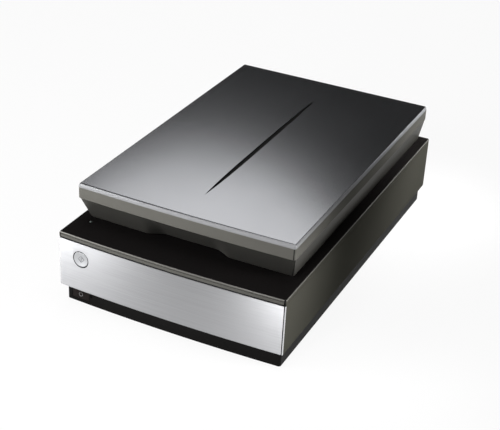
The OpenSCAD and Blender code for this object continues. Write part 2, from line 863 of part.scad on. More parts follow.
module lid_socket() color(black) {
    z = socket_seat + socket_wall;
    socket_body(lidsock_x, lidsock_w, lidsock_h)
        box([lidsock_x - lidsock_w / 2, socket_y - cavity_l, z],
            [lidsock_x + lidsock_w / 2, socket_y + cut, z + lidsock_h]);
    for (i = [-3 : 3], h = [0.3, 0.7])
        rod_along_y(socket_y - cavity_l - eps, socket_y - cavity_l + tongue_l, lidsock_x + 3 * i, z + h * lidsock_h, 0.4);
}

// Opening for a hinge post
module post_hole(sx, z0, z1) {
    w = post_w / 2 + guide_gap;
    t = post_t / 2 + guide_gap;
    box([sx * hinge_x - w, hinge_y - t, z0], [sx * hinge_x + w, hinge_y + t, z1]);
}

module hinge_guides() color(dark) for (sx = [-1, 1]) difference() {
    w = post_w / 2 + guide_gap + guide_wall;
    t = post_t / 2 + guide_gap + guide_wall;
    union() {
        box([sx * hinge_x - w, hinge_y - t, guide_z - guide_wall], [sx * hinge_x + w, hinge_y + t, deck_under]);
        box([sx * hinge_x - w - 5, hinge_y - t - 5, deck_under - 2], [sx * hinge_x + w + 5, hinge_y + t, deck_under]);
    }
    post_hole(sx, guide_z, deck_z);
}

module carriage_body() color(black) difference() {
    union() {
        box([car_x0, car_y0, car_z0], [car_x1, car_y0 + carriage_l, car_lid_z]);
        for (y = [car_y0, car_y0 + carriage_l - bush_l]) {
            box([-rod_x, y, rod_z - bush_r - 2], [car_x0 + eps, y + bush_l, rod_z + bush_r + 2]);
            rod_along_y(y, y + bush_l, -rod_x, rod_z, bush_r + 2 - 1.5);
        }
        box([car_x1 - eps, car_mid - 12, rail_z + 0.2], [rail_x + rail_w / 2 - 1, car_mid + 12, rail_z + 6]);
    }
    difference() {
        box([car_x0 + car_wall, car_y0 + car_wall, car_z0 + car_wall],
            [car_x1 - car_wall, car_y0 + carriage_l - car_wall, car_lid_z + cut]);
        box([car_cx - 12, lens_y0 + 4, car_z0], [car_cx + 12, lens_y0 + lens_l - 4, optic_z - lens_r + 3]);
        box([car_cx - 18, car_y0 + 8, car_z0], [car_cx + 18, car_y0 + 11, optic_z - 8]);
    }
    rod_along_y(car_y0 - cut, car_y0 + carriage_l + cut, -rod_x, rod_z, bush_r - 1.5);
    rod_along_y(lens_y0, lens_y0 + lens_l, car_cx, optic_z, lens_r + 0.02);
}

module rod_bushes() color([0.7, 0.55, 0.3])
    for (y = [car_y0, car_y0 + carriage_l - bush_l]) difference() {
        rod_along_y(y, y + bush_l, -rod_x, rod_z, bush_r - 1.5 - 0.02);
        rod_along_y(y - cut, y + bush_l + cut, -rod_x, rod_z, rod_d / 2 + run_fit);
    }

module carriage_top() color(black) {
    difference() {
        box([car_x0, car_y0, car_lid_z], [car_x1, car_y0 + carriage_l, car_lid_z + 2]);
        box([car_x0 + slot_end, car_mid - slot_half, car_lid_z - cut],
            [car_x1 - slot_end, car_mid + slot_half, car_lid_z + 3]);
    }
    difference() {
        for (x = [car_x0 + 0.5, car_x1 - 6.5])
            box([x, car_mid - 14, car_lid_z + 2 - eps], [x + 6, car_mid + 14, car_top]);
        for (sy = [-1, 1]) rod_along_x(car_x0 - cut, car_x1 + cut, car_mid + sy * lamp_gap, lamp_z, lamp_r + 0.02);
    }
}

module scan_lamps() color(white)
    for (sy = [-1, 1]) rod_along_x(car_x0 + lamp_end, car_x1 - lamp_end, car_mid + sy * lamp_gap, lamp_z, lamp_r);

// Mirror strip between the carriage's side walls, tilted about X
module mirror_strip(y, z, tilt) {
    translate([car_cx, y, z]) rotate([tilt, 0, 0])
        cube([inner_w - 0.2, mirror_w, mirror_t], center = true);
}

module mirrors() color([0.75, 0.8, 0.85]) {
    mirror_strip(car_mid, car_z0 + mirror_up, -45);
    mirror_strip(car_y0 + carriage_l - mirror_end, car_z0 + mirror_low, 45);
    mirror_strip(car_y0 + carriage_l - mirror_end, optic_z, -45);
}

module lens_barrel() color(black) difference() {
    rod_along_y(lens_y0 + 1, lens_y0 + lens_l - 1, car_cx, optic_z, lens_r);
    rod_along_y(lens_y0 + lens_l - 5, lens_y0 + lens_l, car_cx, optic_z, lens_r - 3);
}

module sensor_board() color(green) {
    box([car_cx - sensor_half, sensor_y, optic_z - sensor_drop],
        [car_cx + sensor_half, sensor_y + board_t, optic_z + sensor_rise]);
    box([car_cx - line_half, sensor_y + board_t - eps, optic_z - line_h / 2],
        [car_cx + line_half, sensor_y + board_t + line_t, optic_z + line_h / 2]);
}

module belt_clamp() color(nylon) difference() {
    box([strand_x - 6, car_mid - 8, belt_z - 0.8], [strand_x + 4, car_mid + 8, car_z0]);
    box([strand_x - belt_t / 2 - 0.4, car_mid - 8 - cut, belt_z - 2],
        [strand_x + belt_t / 2 + 0.4, car_mid + 8 + cut, belt_z + belt_w + 0.5]);
}

module hinge_post(sx) color(dark) difference() {
    union() {
        box([sx * hinge_x - post_w / 2, hinge_y - post_t / 2, hinge_z - post_l],
            [sx * hinge_x + post_w / 2, hinge_y + post_t / 2, hinge_z]);
        rod_along_x(sx * hinge_x - post_w / 2, sx * hinge_x + post_w / 2, hinge_y, hinge_z, post_t / 2);
    }
    rod_along_x(sx * hinge_x - post_w, sx * hinge_x + post_w, hinge_y, hinge_z, pin_d / 2 + run_fit);
}

module hinge_post_left() hinge_post(-1);

module hinge_post_right() hinge_post(1);

// Outer plan of the lid, moved inwards by t
module lid_plan(t) {
    plan_in(lid_w, lid_y0, lid_y1, lid_r, lid_corner_r, t);
}

module lid_cover() color(dark) difference() {
    hull() {
        raise(band_z, band_h - bevel_h) lid_plan(0);
        raise(lid_z - eps, eps) lid_plan(bevel_w);
    }
    raise(band_z - cut, band_h - lid_wall + cut) lid_plan(lid_wall);
    raise(lid_z - groove_h, groove_h + cut) difference() {
        lid_plan(bevel_w + groove_in);
        lid_plan(bevel_w + groove_in + groove_w);
    }
    raise(lid_z - slit_h, slit_h + cut) slit_plan(0);
}

// Pointed slit between two long arcs, moved inwards by t
module slit_plan(t) {
    h = slit_end(t);
    right = [for (i = [0 : slit_steps]) let (y = h - 2 * h * i / slit_steps) [slit_x(y, t), y]];
    left = [for (i = [1 : slit_steps - 1]) let (y = 2 * h * i / slit_steps - h) [-slit_x(y, t), y]];
    translate([0, slit_y]) polygon(concat(right, left));
}

module slit_insert() color(black) raise(lid_z - slit_h, insert_t) slit_plan(slit_fit);

// Tapered body of the skirt, moved inwards by t
module skirt_body(t) {
    hull() {
        raise(band_z - eps, eps) lid_plan(skirt_step + t);
        raise(lid_bottom, eps) plan(lid_w - 2 * (skirt_in + t), skirt_y0 + t, skirt_y1 - t,
            lid_r * 1.6, lid_corner_r);
    }
}

// Wedge of the finger scoop, moved inwards by t
module scoop(t) {
    top_y = lid_y0 + skirt_step;
    low = scoop_w / 2 + t;
    hull() {
        raise(lid_bottom - t, eps) polygon([[-low - scoop_soft, top_y - 10], [low + scoop_soft, top_y - 10],
            [low + scoop_soft, skirt_y0], [low, skirt_y0 + scoop_depth + t],
            [-low, skirt_y0 + scoop_depth + t], [-low - scoop_soft, skirt_y0]]);
        raise(band_z + t - eps, eps) polygon([[-low, top_y - 10], [low, top_y - 10],
            [low, top_y - eps + t], [-low, top_y - eps + t]]);
    }
}

module lid_skirt() color(dark) difference() {
    union() {
        difference() {
            skirt_body(0);
            difference() {
                skirt_body(lid_wall);
                box([-lid_w, y_front, plate_z], [lid_w, y_rear, plate_top]);
                scoop(lid_wall);
            }
        }
        raise(band_z - eps, lip_h) difference() {
            lid_plan(lid_wall + lip_gap);
            lid_plan(2 * lid_wall + lip_gap);
        }
        for (y = [lid_idler_y - 16, lid_drive_y - 16]) rod_tower(y);
        upright(lid_drive_x, lid_idler_y, plate_top - eps, lid_pulley_z - 0.5, axle_r + 3);
        upright(lid_drive_x, lid_idler_y, plate_top - eps, lid_pulley_z + pulley_h + 2, axle_r);
    }
    scoop(0);
    box([-tpu_w / 2, tpu_y - tpu_l / 2, 0], [tpu_w / 2, tpu_y + tpu_l / 2, plate_top + eps]);
    rod_along_y(lid_idler_y - 17, lid_drive_y, lid_rod_x, lid_rod_z, lid_rod_r);
    for (sx = [-1, 1]) hinge_notch(sx);
    for (sx = [-1, 1], dx = [-1, 1]) upright(sx * hinge_x + dx * lug_x, lug_y, 0, lid_z, screw_r + 0.02);
}

// Support of the lid's guide rod
module rod_tower(y) {
    box([lid_rod_x - 6, y, plate_top - eps], [lid_rod_x + 6, y + 6, lid_rod_z]);
    rod_along_y(y, y + 6, lid_rod_x, lid_rod_z, 6);
}

// Cut in the skirt for a hinge post, which swings to the rear as the lid opens
module hinge_notch(sx) {
    w = post_w / 2 + ear_gap + ear_t + 0.6;
    box([sx * hinge_x - w, hinge_y - post_t / 2 - notch_gap - 1, lid_bottom - cut],
        [sx * hinge_x + w, y_rear, hinge_z + post_t / 2 + notch_gap + 1]);
}

module hinge_brackets() color(steel) for (sx = [-1, 1]) difference() {
    out = post_w / 2 + ear_gap + ear_t;
    union() {
        box([sx * hinge_x - out, bracket_y0, plate_top],
            [sx * hinge_x + out, bracket_y0 + bracket_l, plate_top + ear_plate_t]);
        for (x = [sx * hinge_x - out, sx * hinge_x + out - ear_t]) {
            rod_along_x(x, x + ear_t, hinge_y, hinge_z, ear_r);
            box([x, bracket_y0, plate_top], [x + ear_t, hinge_y, hinge_z + ear_r]);
        }
    }
    rod_along_x(sx * hinge_x - 2 * post_w, sx * hinge_x + 2 * post_w, hinge_y, hinge_z, pin_d / 2 + 0.02);
    for (dx = [-1, 1]) upright(sx * hinge_x + dx * lug_x, lug_y, 0, lid_z, screw_r + screw_hole);
}

module hinge_pins() color(steel) for (sx = [-1, 1]) {
    out = post_w / 2 + ear_gap + ear_t;
    rod_along_x(sx * hinge_x - out, sx * hinge_x + out, hinge_y, hinge_z, pin_d / 2);
}

module lid_screws() color(steel) for (sx = [-1, 1], dx = [-1, 1]) {
    z = plate_top + ear_plate_t;
    upright(sx * hinge_x + dx * lug_x, lug_y, z, z + screw_head_h, screw_head_r);
    upright(sx * hinge_x + dx * lug_x, lug_y, plate_z, z + eps, screw_r);
}

module lid_window() color([0.9, 0.92, 0.92, 0.7])
    box([-tpu_w / 2 - tpu_lap, tpu_y - tpu_l / 2 - tpu_lap, plate_top],
        [tpu_w / 2 + tpu_lap, tpu_y + tpu_l / 2 + tpu_lap, plate_top + tpu_t]);

module lid_bumpers() color(rubber)
    for (sx = [-1, 1], y = bumper_rows) upright(sx * bumper_x, y, deck_z + bumper_gap, plate_z, bumper_r);

module lid_rod() color(steel)
    rod_along_y(lid_idler_y - 15.5, lid_drive_y - 10.5, lid_rod_x, lid_rod_z, lid_rod_r);

module lid_motor() color(steel) {
    upright(lid_drive_x, lid_drive_y, plate_top, plate_top + lid_motor_h, motor_d / 2);
    upright(lid_drive_x, lid_drive_y, plate_top, lid_pulley_z + pulley_h + 2, motor_shaft_r);
}

module lid_belt() color(rubber) translate([lid_drive_x, lid_idler_y, 0])
    raise(lid_pulley_z + flange_t + 0.5, belt_w) belt_loop(lid_pulley_r + belt_gap, lid_drive_y - lid_idler_y);

module lid_drive_pulley() color(nylon) translate([lid_drive_x, lid_drive_y, 0]) difference() {
    pulley(lid_pulley_r, lid_pulley_z);
    upright(0, 0, 0, lid_z, motor_shaft_r + run_fit);
}

module lid_idler_pulley() color(nylon) translate([lid_drive_x, lid_idler_y, 0]) difference() {
    pulley(lid_pulley_r, lid_pulley_z);
    upright(0, 0, 0, lid_z, axle_r + run_fit);
}

// Lamp carrier of the transparency unit, open below
module lamp_carriage() color(black) difference() {
    x0 = lid_rod_x + 10;
    x1 = tpu_w / 2 + 12;
    union() {
        box([x0, lamp_y0, lamp_z0], [x1, lamp_y0 + lamp_l, lamp_z0 + lamp_h]);
        box([lid_rod_x, lamp_y0, lid_rod_z - 5], [x0 + eps, lamp_y0 + lamp_l, lid_rod_z + 5]);
        rod_along_y(lamp_y0, lamp_y0 + lamp_l, lid_rod_x, lid_rod_z, 5);
        box([lid_strand_x - 3, lamp_y0 + 10, lamp_z0 + lamp_h - eps],
            [lid_strand_x + 6, lamp_y0 + 24, lid_pulley_z + pulley_h]);
    }
    box([x0 + 2, lamp_y0 + 2, lamp_z0 - cut], [x1 - 2, lamp_y0 + lamp_l - 2, lamp_z0 + lamp_h - 2]);
    rod_along_y(lamp_y0 - cut, lamp_y0 + lamp_l + cut, lid_rod_x, lid_rod_z, lid_rod_r + run_fit);
    box([lid_strand_x - belt_t / 2 - 0.4, lamp_y0, lid_pulley_z + flange_t],
        [lid_strand_x + belt_t / 2 + 0.4, lamp_y0 + lamp_l, lid_z]);
}

module lid_lamp() color(white)
    rod_along_x(lid_rod_x + 12 + 0.1, tpu_w / 2 + 10 - 0.1, lamp_y0 + lamp_l / 2, lamp_z0 + 6, tube_r);

module document_mat() color(white) translate([0, tpu_y, 0])
    raise(plate_z - mat_gap - mat_t, mat_t) rounded_slab(mat_w, mat_l, 4);

lower_housing();
deck_frame();
side_cover_left();
side_cover_right();
rear_cover();
front_panel();
panel_carrier();
rubber_feet();
base_screws();
platen_glass();
calibration_strip();
status_light();
button_board();
power_switch();
guide_rod();
slide_rail();
scan_motor();
motor_bracket();
axle_pins();
idler_bracket();
tension_spring();
drive_belt();
main_board();
usb_socket();
power_inlet();
lid_socket();
hinge_guides();
start_button();
power_button();
transport_lock();
motor_pinion();
drive_gear();
idler_pulley();
carriage_body();
carriage_top();
scan_lamps();
mirrors();
lens_barrel();
sensor_board();
rod_bushes();
belt_clamp();
hinge_post_left();
hinge_post_right();
lid_cover();
lid_skirt();
slit_insert();
lid_window();
lid_bumpers();
lid_screws();
hinge_brackets();
hinge_pins();
lid_rod();
lid_motor();
lid_belt();
lamp_carriage();
lid_lamp();
lid_drive_pulley();
lid_idler_pulley();
document_mat();
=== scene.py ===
import json
import math

import bmesh
import bpy
from mathutils import Matrix, Vector


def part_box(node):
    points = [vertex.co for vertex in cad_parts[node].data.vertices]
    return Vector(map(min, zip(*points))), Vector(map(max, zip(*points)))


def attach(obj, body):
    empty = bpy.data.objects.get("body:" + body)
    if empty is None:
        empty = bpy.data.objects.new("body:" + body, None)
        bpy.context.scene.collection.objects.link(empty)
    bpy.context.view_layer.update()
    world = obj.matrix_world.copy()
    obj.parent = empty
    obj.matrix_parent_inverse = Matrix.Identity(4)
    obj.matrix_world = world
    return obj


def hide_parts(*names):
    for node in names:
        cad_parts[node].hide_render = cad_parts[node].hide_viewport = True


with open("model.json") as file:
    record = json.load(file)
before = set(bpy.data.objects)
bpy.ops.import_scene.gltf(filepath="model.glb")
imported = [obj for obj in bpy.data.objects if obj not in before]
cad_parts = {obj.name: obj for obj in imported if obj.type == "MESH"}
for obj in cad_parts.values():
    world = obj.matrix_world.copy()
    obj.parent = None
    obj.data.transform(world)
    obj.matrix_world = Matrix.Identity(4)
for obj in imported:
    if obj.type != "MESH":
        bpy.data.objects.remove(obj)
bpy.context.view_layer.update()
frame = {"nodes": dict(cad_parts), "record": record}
MM = 0.001


def mm(node):
    """Low and high corner of a CAD node in millimetres."""
    lo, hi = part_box(node)
    return [v / MM for v in lo], [v / MM for v in hi]


# ---------------------------------------------------------------- sizes taken from the CAD nodes, in mm
_, deck_hi = mm("deck_frame")
panel_lo, panel_hi = mm("front_panel")
lid_lo, lid_hi = mm("lid_cover")
skirt_lo, _ = mm("lid_skirt")
glass_lo, glass_hi = mm("platen_glass")
strip_lo, strip_hi = mm("calibration_strip")
rear_lo, rear_hi = mm("rear_cover")
slit_lo, slit_hi = mm("slit_insert")
window_lo, window_hi = mm("lid_window")
button_lo, button_hi = mm("start_button")
key_lo, key_hi = mm("power_button")
light_lo, light_hi = mm("status_light")
pin_lo, pin_hi = mm("hinge_pins")
feet_lo, feet_hi = mm("rubber_feet")
mat_lo, mat_hi = mm("document_mat")

HALF = deck_hi[0]
BASE_W = 2 * HALF
Y_FRONT = panel_lo[1]
Y_REAR = deck_hi[1]
DECK_Z = deck_hi[2]
PANEL_Z = panel_lo[2]
PANEL_TOP = panel_hi[2]
LID_W = 2 * lid_hi[0]
LID_Y0 = lid_lo[1]
LID_Y1 = lid_hi[1]
LID_Z = lid_hi[2]
LID_BOTTOM = skirt_lo[2]

# ---------------------------------------------------------------- sizes chosen here, in mm
BASE_BOW = 4.3
BASE_CORNER = 2.2
RIM_Z = 93.0
RIM_T = 3.0
RIM_BACK = 0.6
RIM_PLATE_T = 0.8
DECK_T = 3.0
PANEL_T = 2.0
LID_BOW = 2.8
LID_CORNER = 3.0
BAND_Z = LID_Z - 20.0
WALL = 2.5
BUTTON_R = 10.05
BUTTON_HOLE_R = BUTTON_R + 1.4


def bow_radius(half, bow):
    """Radius of an arc that stands out by the bow over twice the half width."""
    return (half * half + bow * bow) / (2 * bow)


BASE_R = bow_radius(HALF, BASE_BOW)
LID_R = bow_radius(LID_W / 2, LID_BOW)
Y_CORNER = Y_FRONT + BASE_BOW


def bow_y(x, back=0.0):
    """Front of the base's bowed outline at x, set back by that much."""
    return Y_FRONT + back + BASE_R - math.sqrt(BASE_R ** 2 - x ** 2)


# ---------------------------------------------------------------- plans and rings, in mm
def steps(start, end, n):
    """The n + 1 values at even steps from start to end."""
    return [start + (end - start) * i / n for i in range(n + 1)]


def arc_points(cx, cy, r, start, end, n):
    """Points of an arc between two angles in radians."""
    return [(cx + r * math.cos(a), cy + r * math.sin(a)) for a in steps(start, end, n)]


def circle(cx, cy, r, n=40):
    return arc_points(cx, cy, r, 0, 2 * math.pi, n)[:-1]


def outline(w, y0, y1, bow_r, corner_r, inset=0.0, arc=40, side=1):
    """Closed counter-clockwise outline with a bowed front, moved inwards by the inset.

    The front comes first in the list, as an arc in arc steps. Each side wall has side steps.
    """
    half, y0, y1 = w / 2 - inset, y0 + inset, y1 - inset
    bow_r, r = bow_r - inset, max(corner_r - inset, 0.25)
    cy = y0 + bow_r - math.sqrt((bow_r - r) ** 2 - (half - r) ** 2)
    bow_end = math.atan2(cy - (y0 + bow_r), half - r)
    ys = steps(cy, y1 - r, side)[1:-1]
    corner = 9
    pts = arc_points(0, y0 + bow_r, bow_r, -math.pi - bow_end, bow_end, arc)
    pts += arc_points(half - r, cy, r, bow_end, 0, corner)[1:]
    pts += [(half, y) for y in ys]
    pts += arc_points(half - r, y1 - r, r, 0, math.pi / 2, corner)
    pts += arc_points(-half + r, y1 - r, r, math.pi / 2, math.pi, corner)
    pts += [(-half, y) for y in reversed(ys)]
    pts += arc_points(-half + r, cy, r, math.pi, math.pi - bow_end, corner)[:-1]
    return pts


def round_rect(x0, y0, x1, y1, r, corner=6):
    r = max(r, 0.05)
    pts = []
    for turn, (cx, cy) in enumerate(((x1 - r, y0 + r), (x1 - r, y1 - r), (x0 + r, y1 - r), (x0 + r, y0 + r))):
        start = math.pi / 2 * (turn - 1)
        pts += arc_points(cx, cy, r, start, start + math.pi / 2, corner)
    return pts


def ring(pts, z):
    return [(x, y, z) for x, y in pts]


def rect_ring(lo, hi, grow, z, r, corner=6):
    """Rounded rectangle between two corners, grown on all sides, as a ring at height z."""
    return ring(round_rect(lo[0] - grow, lo[1] - grow, hi[0] + grow, hi[1] + grow, r, corner), z)


def lens(cy, length, width, inset):
    """Long outline that tapers to a point at each end, moved inwards by the inset."""
    half = length / 2 - inset * 6
    n = 40
    along = [math.cos(math.pi * i / n) for i in range(n + 1)]
    right = [((width / 2 - inset) * (1 - abs(u) ** 4), cy + half * u) for u in along]
    return [(-x, y) for x, y in right[:-1]] + right[:0:-1]


def rounding(r, n=4, flip=False):
    """(inset, drop) pairs of a rounded edge, from the top face to the side, or the other way round."""
    pairs = [(r * (1 - math.sin(a)), r * (1 - math.cos(a))) for a in steps(0, math.pi / 2, n)]
    return pairs[::-1] if flip else pairs


# ---------------------------------------------------------------- mesh tools (millimetres in, metres out)
def add_ring(bm, pts, place=None):
    return [bm.verts.new([c * MM for c in (place(*p) if place else p)]) for p in pts]


def bridge(bm, a, b):
    n = len(a)
    for i in range(n):
        j = (i + 1) % n
        bm.faces.new((a[i], a[j], b[j], b[i]))


def tube(bm, rings, place=None):
    """Open tube through the rings; returns its loops of vertices."""
    loops = [add_ring(bm, r, place) for r in rings]
    for a, b in zip(loops, loops[1:]):
        bridge(bm, a, b)
    return loops


def fill(bm, loops):
    """Flat face within the first loop, with the others as its holes."""
    if len(loops) == 1:
        bm.faces.new(loops[0])
        return
    edges = []
    for loop in loops:
        for pair in zip(loop, loop[1:] + loop[:1]):
            edges.append(bm.edges.get(pair) or bm.edges.new(pair))
    bmesh.ops.triangle_fill(bm, use_beauty=True, edges=edges)


def solid(bm, outer, holes=(), place=None):
    """Closed body: rings of the outside from its top face to its bottom face, and the same for each hole."""
    tubes = [tube(bm, rings, place) for rings in (outer, *holes)]
    fill(bm, [loops[0] for loops in tubes])
    fill(bm, [loops[-1] for loops in tubes])


def slab(bm, lo, hi, r=0.4, corner=0.6, n=2):
    """Rounded box between two corners."""
    levels = [(inset, hi[2] - drop) for inset, drop in rounding(r, n)]
    levels += [(inset, lo[2] + drop) for inset, drop in rounding(r, n, flip=True)]
    solid(bm, [rect_ring(lo, hi, -inset, z, corner - inset, 4) for inset, z in levels])


def lathe(bm, profile, origin, along_y=False, n=48):
    """Body turned about Z, or about Y. The profile is a list of (radius, height) from axis to axis."""
    ox, oy, oz = origin

    def place(x, y, h):
        return (ox + x, oy + h, oz + y) if along_y else (ox + x, oy + y, oz + h)

    loops = [add_ring(bm, ring(circle(0, 0, r, n), h) if r else [(0, 0, h)], place) for r, h in profile]
    for a, b in zip(loops, loops[1:]):
        if len(a) == len(b):
            bridge(bm, a, b)
            continue
        tip, loop = (a[0], b) if len(a) == 1 else (b[0], a)
        for pair in zip(loop, loop[1:] + loop[:1]):
            bm.faces.new((*pair, tip))


def to_object(bm, name):
    bmesh.ops.recalc_face_normals(bm, faces=bm.faces)
    mesh = bpy.data.meshes.new(name)
    bm.to_mesh(mesh)
    bm.free()
    obj = bpy.data.objects.new(name, mesh)
    bpy.context.scene.collection.objects.link(obj)
    return obj


def cut(obj, bm):
    """Take the body in bm away from the object."""
    cutter = to_object(bm, "cutter")
    mod = obj.modifiers.new("cut", "BOOLEAN")
    mod.operation = "DIFFERENCE"
    mod.solver = "EXACT"
    mod.object = cutter
    graph = bpy.context.evaluated_depsgraph_get()
    mesh = bpy.data.meshes.new_from_object(obj.evaluated_get(graph))
    obj.modifiers.clear()
    old = obj.data
    obj.data = mesh
    bpy.data.meshes.remove(old)
    bpy.data.objects.remove(cutter)


def dress(obj, material, body, replaces=(), angle=32):
    """Shade and paint a finished piece, hang it on its body and hide the CAD nodes that it replaces."""
    mesh = obj.data
    mesh.shade_smooth()
    mesh.set_sharp_from_angle(angle=math.radians(angle))
    mesh.materials.clear()
    mesh.materials.append(material)
    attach(obj, body)
    if replaces:
        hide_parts(*replaces)


def piece(bm, name, material, body, replaces=(), angle=32):
    """Named piece made of the body in bm."""
    dress(to_object(bm, name), material, body, replaces, angle)


def strokes(name, lines, radius, place, material, body):
    """Thin raised lines of a printed symbol, each a polyline of (u, v)."""
    curve = bpy.data.curves.new(name, "CURVE")
    curve.dimensions = "3D"
    curve.bevel_depth = radius * MM
    curve.bevel_resolution = 2
    curve.use_fill_caps = True
    for pts in lines:
        spline = curve.splines.new("POLY")
        spline.points.add(len(pts) - 1)
        for point, (u, v) in zip(spline.points, pts):
            point.co = (*[c * MM for c in place(u, v)], 1)
    obj = bpy.data.objects.new(name + "_curve", curve)
    bpy.context.scene.collection.objects.link(obj)
    graph = bpy.context.evaluated_depsgraph_get()
    mesh = bpy.data.meshes.new_from_object(obj.evaluated_get(graph))
    bpy.data.objects.remove(obj)
    symbol = bpy.data.objects.new(name, mesh)
    bpy.context.scene.collection.objects.link(symbol)
    dress(symbol, material, body)


# ---------------------------------------------------------------- shader tools
def new_material(name, color, rough, metallic=0.0, spec=0.5):
    mat = bpy.data.materials.new(name)
    mat.use_nodes = True
    nt = mat.node_tree
    bsdf = nt.nodes["Principled BSDF"]
    bsdf.inputs["Base Color"].default_value = (*color, 1)
    bsdf.inputs["Roughness"].default_value = rough
    bsdf.inputs["Metallic"].default_value = metallic
    bsdf.inputs["Specular IOR Level"].default_value = spec
    mat.diffuse_color = (*color, 1)
    return mat, nt, bsdf


def math_node(nt, operation, a, b):
    """Result of a math node on two sockets, of which b may be a number."""
    node = nt.nodes.new("ShaderNodeMath")
    node.operation = operation
    nt.links.new(a, node.inputs[0])
    if isinstance(b, float):
        node.inputs[1].default_value = b
    else:
        nt.links.new(b, node.inputs[1])
    return node.outputs[0]


def noise(nt, scale, detail=3.0, rough=0.5, stretch=(1, 1, 1)):
    coord = nt.nodes.new("ShaderNodeTexCoord")
    mapping = nt.nodes.new("ShaderNodeMapping")
    mapping.inputs["Scale"].default_value = stretch
    tex = nt.nodes.new("ShaderNodeTexNoise")
    tex.inputs["Scale"].default_value = scale
    tex.inputs["Detail"].default_value = detail
    tex.inputs["Roughness"].default_value = rough
    nt.links.new(coord.outputs["Object"], mapping.inputs["Vector"])
    nt.links.new(mapping.outputs["Vector"], tex.inputs["Vector"])
    return tex.outputs["Fac"]


def span(nt, value, lo, hi, a=0.3, b=0.7):
    """The value's range from a to b, mapped to lo and hi."""
    node = nt.nodes.new("ShaderNodeMapRange")
    node.inputs["From Min"].default_value = a
    node.inputs["From Max"].default_value = b
    node.inputs["To Min"].default_value = lo
    node.inputs["To Max"].default_value = hi
    nt.links.new(value, node.inputs["Value"])
    return node.outputs["Result"]


def shade(color, k):
    return tuple(min(1.0, v * k) for v in color)


def tint(nt, bsdf, value, color, dark, light):
    """Base colour that runs between a darker and a lighter shade of the colour."""
    mix = nt.nodes.new("ShaderNodeMix")
    mix.data_type = "RGBA"
    mix.inputs["A"].default_value = (*shade(color, dark), 1)
    mix.inputs["B"].default_value = (*shade(color, light), 1)
    nt.links.new(value, mix.inputs["Factor"])
    nt.links.new(mix.outputs["Result"], bsdf.inputs["Base Color"])


def bump(nt, bsdf, value, strength, depth):
    node = nt.nodes.new("ShaderNodeBump")
    node.inputs["Strength"].default_value = strength
    node.inputs["Distance"].default_value = depth
    nt.links.new(value, node.inputs["Height"])
    nt.links.new(node.outputs["Normal"], bsdf.inputs["Normal"])


def edge_tint(bsdf, edge):
    """Dim the reflection at a grazing angle to that share of bare metal's."""
    bsdf.inputs["Specular Tint"].default_value = (edge, edge, edge, 1)


# ---------------------------------------------------------------- materials
def plastic(name, color, rough, grain=900, depth=0.00004, strength=0.25, vary=0.12, spec=0.5):
    """Moulded plastic: fine grain in the bump, slow variation in colour and gloss."""
    mat, nt, bsdf = new_material(name, color, rough, spec=spec)
    tint(nt, bsdf, span(nt, noise(nt, 14, 4), 0, 1), color, 1 - vary, 1 + vary)
    fine = noise(nt, grain, 2)
    slow_gloss = span(nt, noise(nt, 60, 5), -0.025, 0.025)
    gloss = math_node(nt, "ADD", slow_gloss, span(nt, fine, rough - 0.03, rough + 0.03))
    nt.links.new(gloss, bsdf.inputs["Roughness"])
    bump(nt, bsdf, fine, strength, depth)
    return mat


def paint(name, color, rough, metallic, edge):
    """Metallic paint: fine flake in the gloss and bump, dimmer at a grazing angle than bare metal."""
    mat, nt, bsdf = new_material(name, color, rough, metallic, spec=0.0)
    tint(nt, bsdf, span(nt, noise(nt, 9, 3), 0, 1), color, 0.97, 1.03)
    flake = noise(nt, 1500, 2)
    nt.links.new(span(nt, flake, rough - 0.02, rough + 0.02), bsdf.inputs["Roughness"])
    edge_tint(bsdf, edge)
    bump(nt, bsdf, flake, 0.1, 0.00001)
    return mat


def metal(name, color, rough, stretch=(1, 1, 1), scale=700, depth=0.00002):
    """Bare metal; a stretch gives it a drawn grain along the stretch's small axis."""
    mat, nt, bsdf = new_material(name, color, rough, metallic=1.0)
    grain = noise(nt, scale, 3, stretch=stretch)
    tint(nt, bsdf, span(nt, grain, 0, 1), color, 0.94, 1.06)
    gloss = span(nt, noise(nt, scale / 3, 4, stretch=stretch), rough - 0.04, rough + 0.04)
    nt.links.new(gloss, bsdf.inputs["Roughness"])
    bump(nt, bsdf, grain, 0.2, depth)
    return mat


def glass(name, color):
    mat, nt, bsdf = new_material(name, color, 0.0)
    bsdf.inputs["Transmission Weight"].default_value = 1.0
    bsdf.inputs["IOR"].default_value = 1.5
    tint(nt, bsdf, span(nt, noise(nt, 6, 3), 0, 1), color, 0.985, 1.0)
    bump(nt, bsdf, noise(nt, 9, 2), 0.002, 0.0001)
    return mat


def brushed_panel():
    """Brushed, clear anodised sheet: lines run across the front, so highlights spread up and down."""
    color = (0.39, 0.392, 0.403)
    mat, nt, bsdf = new_material("brushed_panel", color, 0.45, metallic=1.0)
    lines = noise(nt, 260, 4, 0.6, stretch=(0.035, 1, 6))
    tint(nt, bsdf, span(nt, lines, 0, 1, 0.35, 0.65), color, 0.93, 1.05)
    gloss = span(nt, noise(nt, 500, 3, stretch=(0.05, 1, 5)), 0.4, 0.44)
    nt.links.new(gloss, bsdf.inputs["Roughness"])
    bump(nt, bsdf, lines, 0.12, 0.00002)
    tangent = nt.nodes.new("ShaderNodeTangent")
    tangent.direction_type = "UV_MAP"
    tangent.uv_map = "UVMap"
    nt.links.new(tangent.outputs["Tangent"], bsdf.inputs["Tangent"])
    bsdf.inputs["Anisotropic"].default_value = 0.95
    bsdf.inputs["Anisotropic Rotation"].default_value = 0.25
    return mat


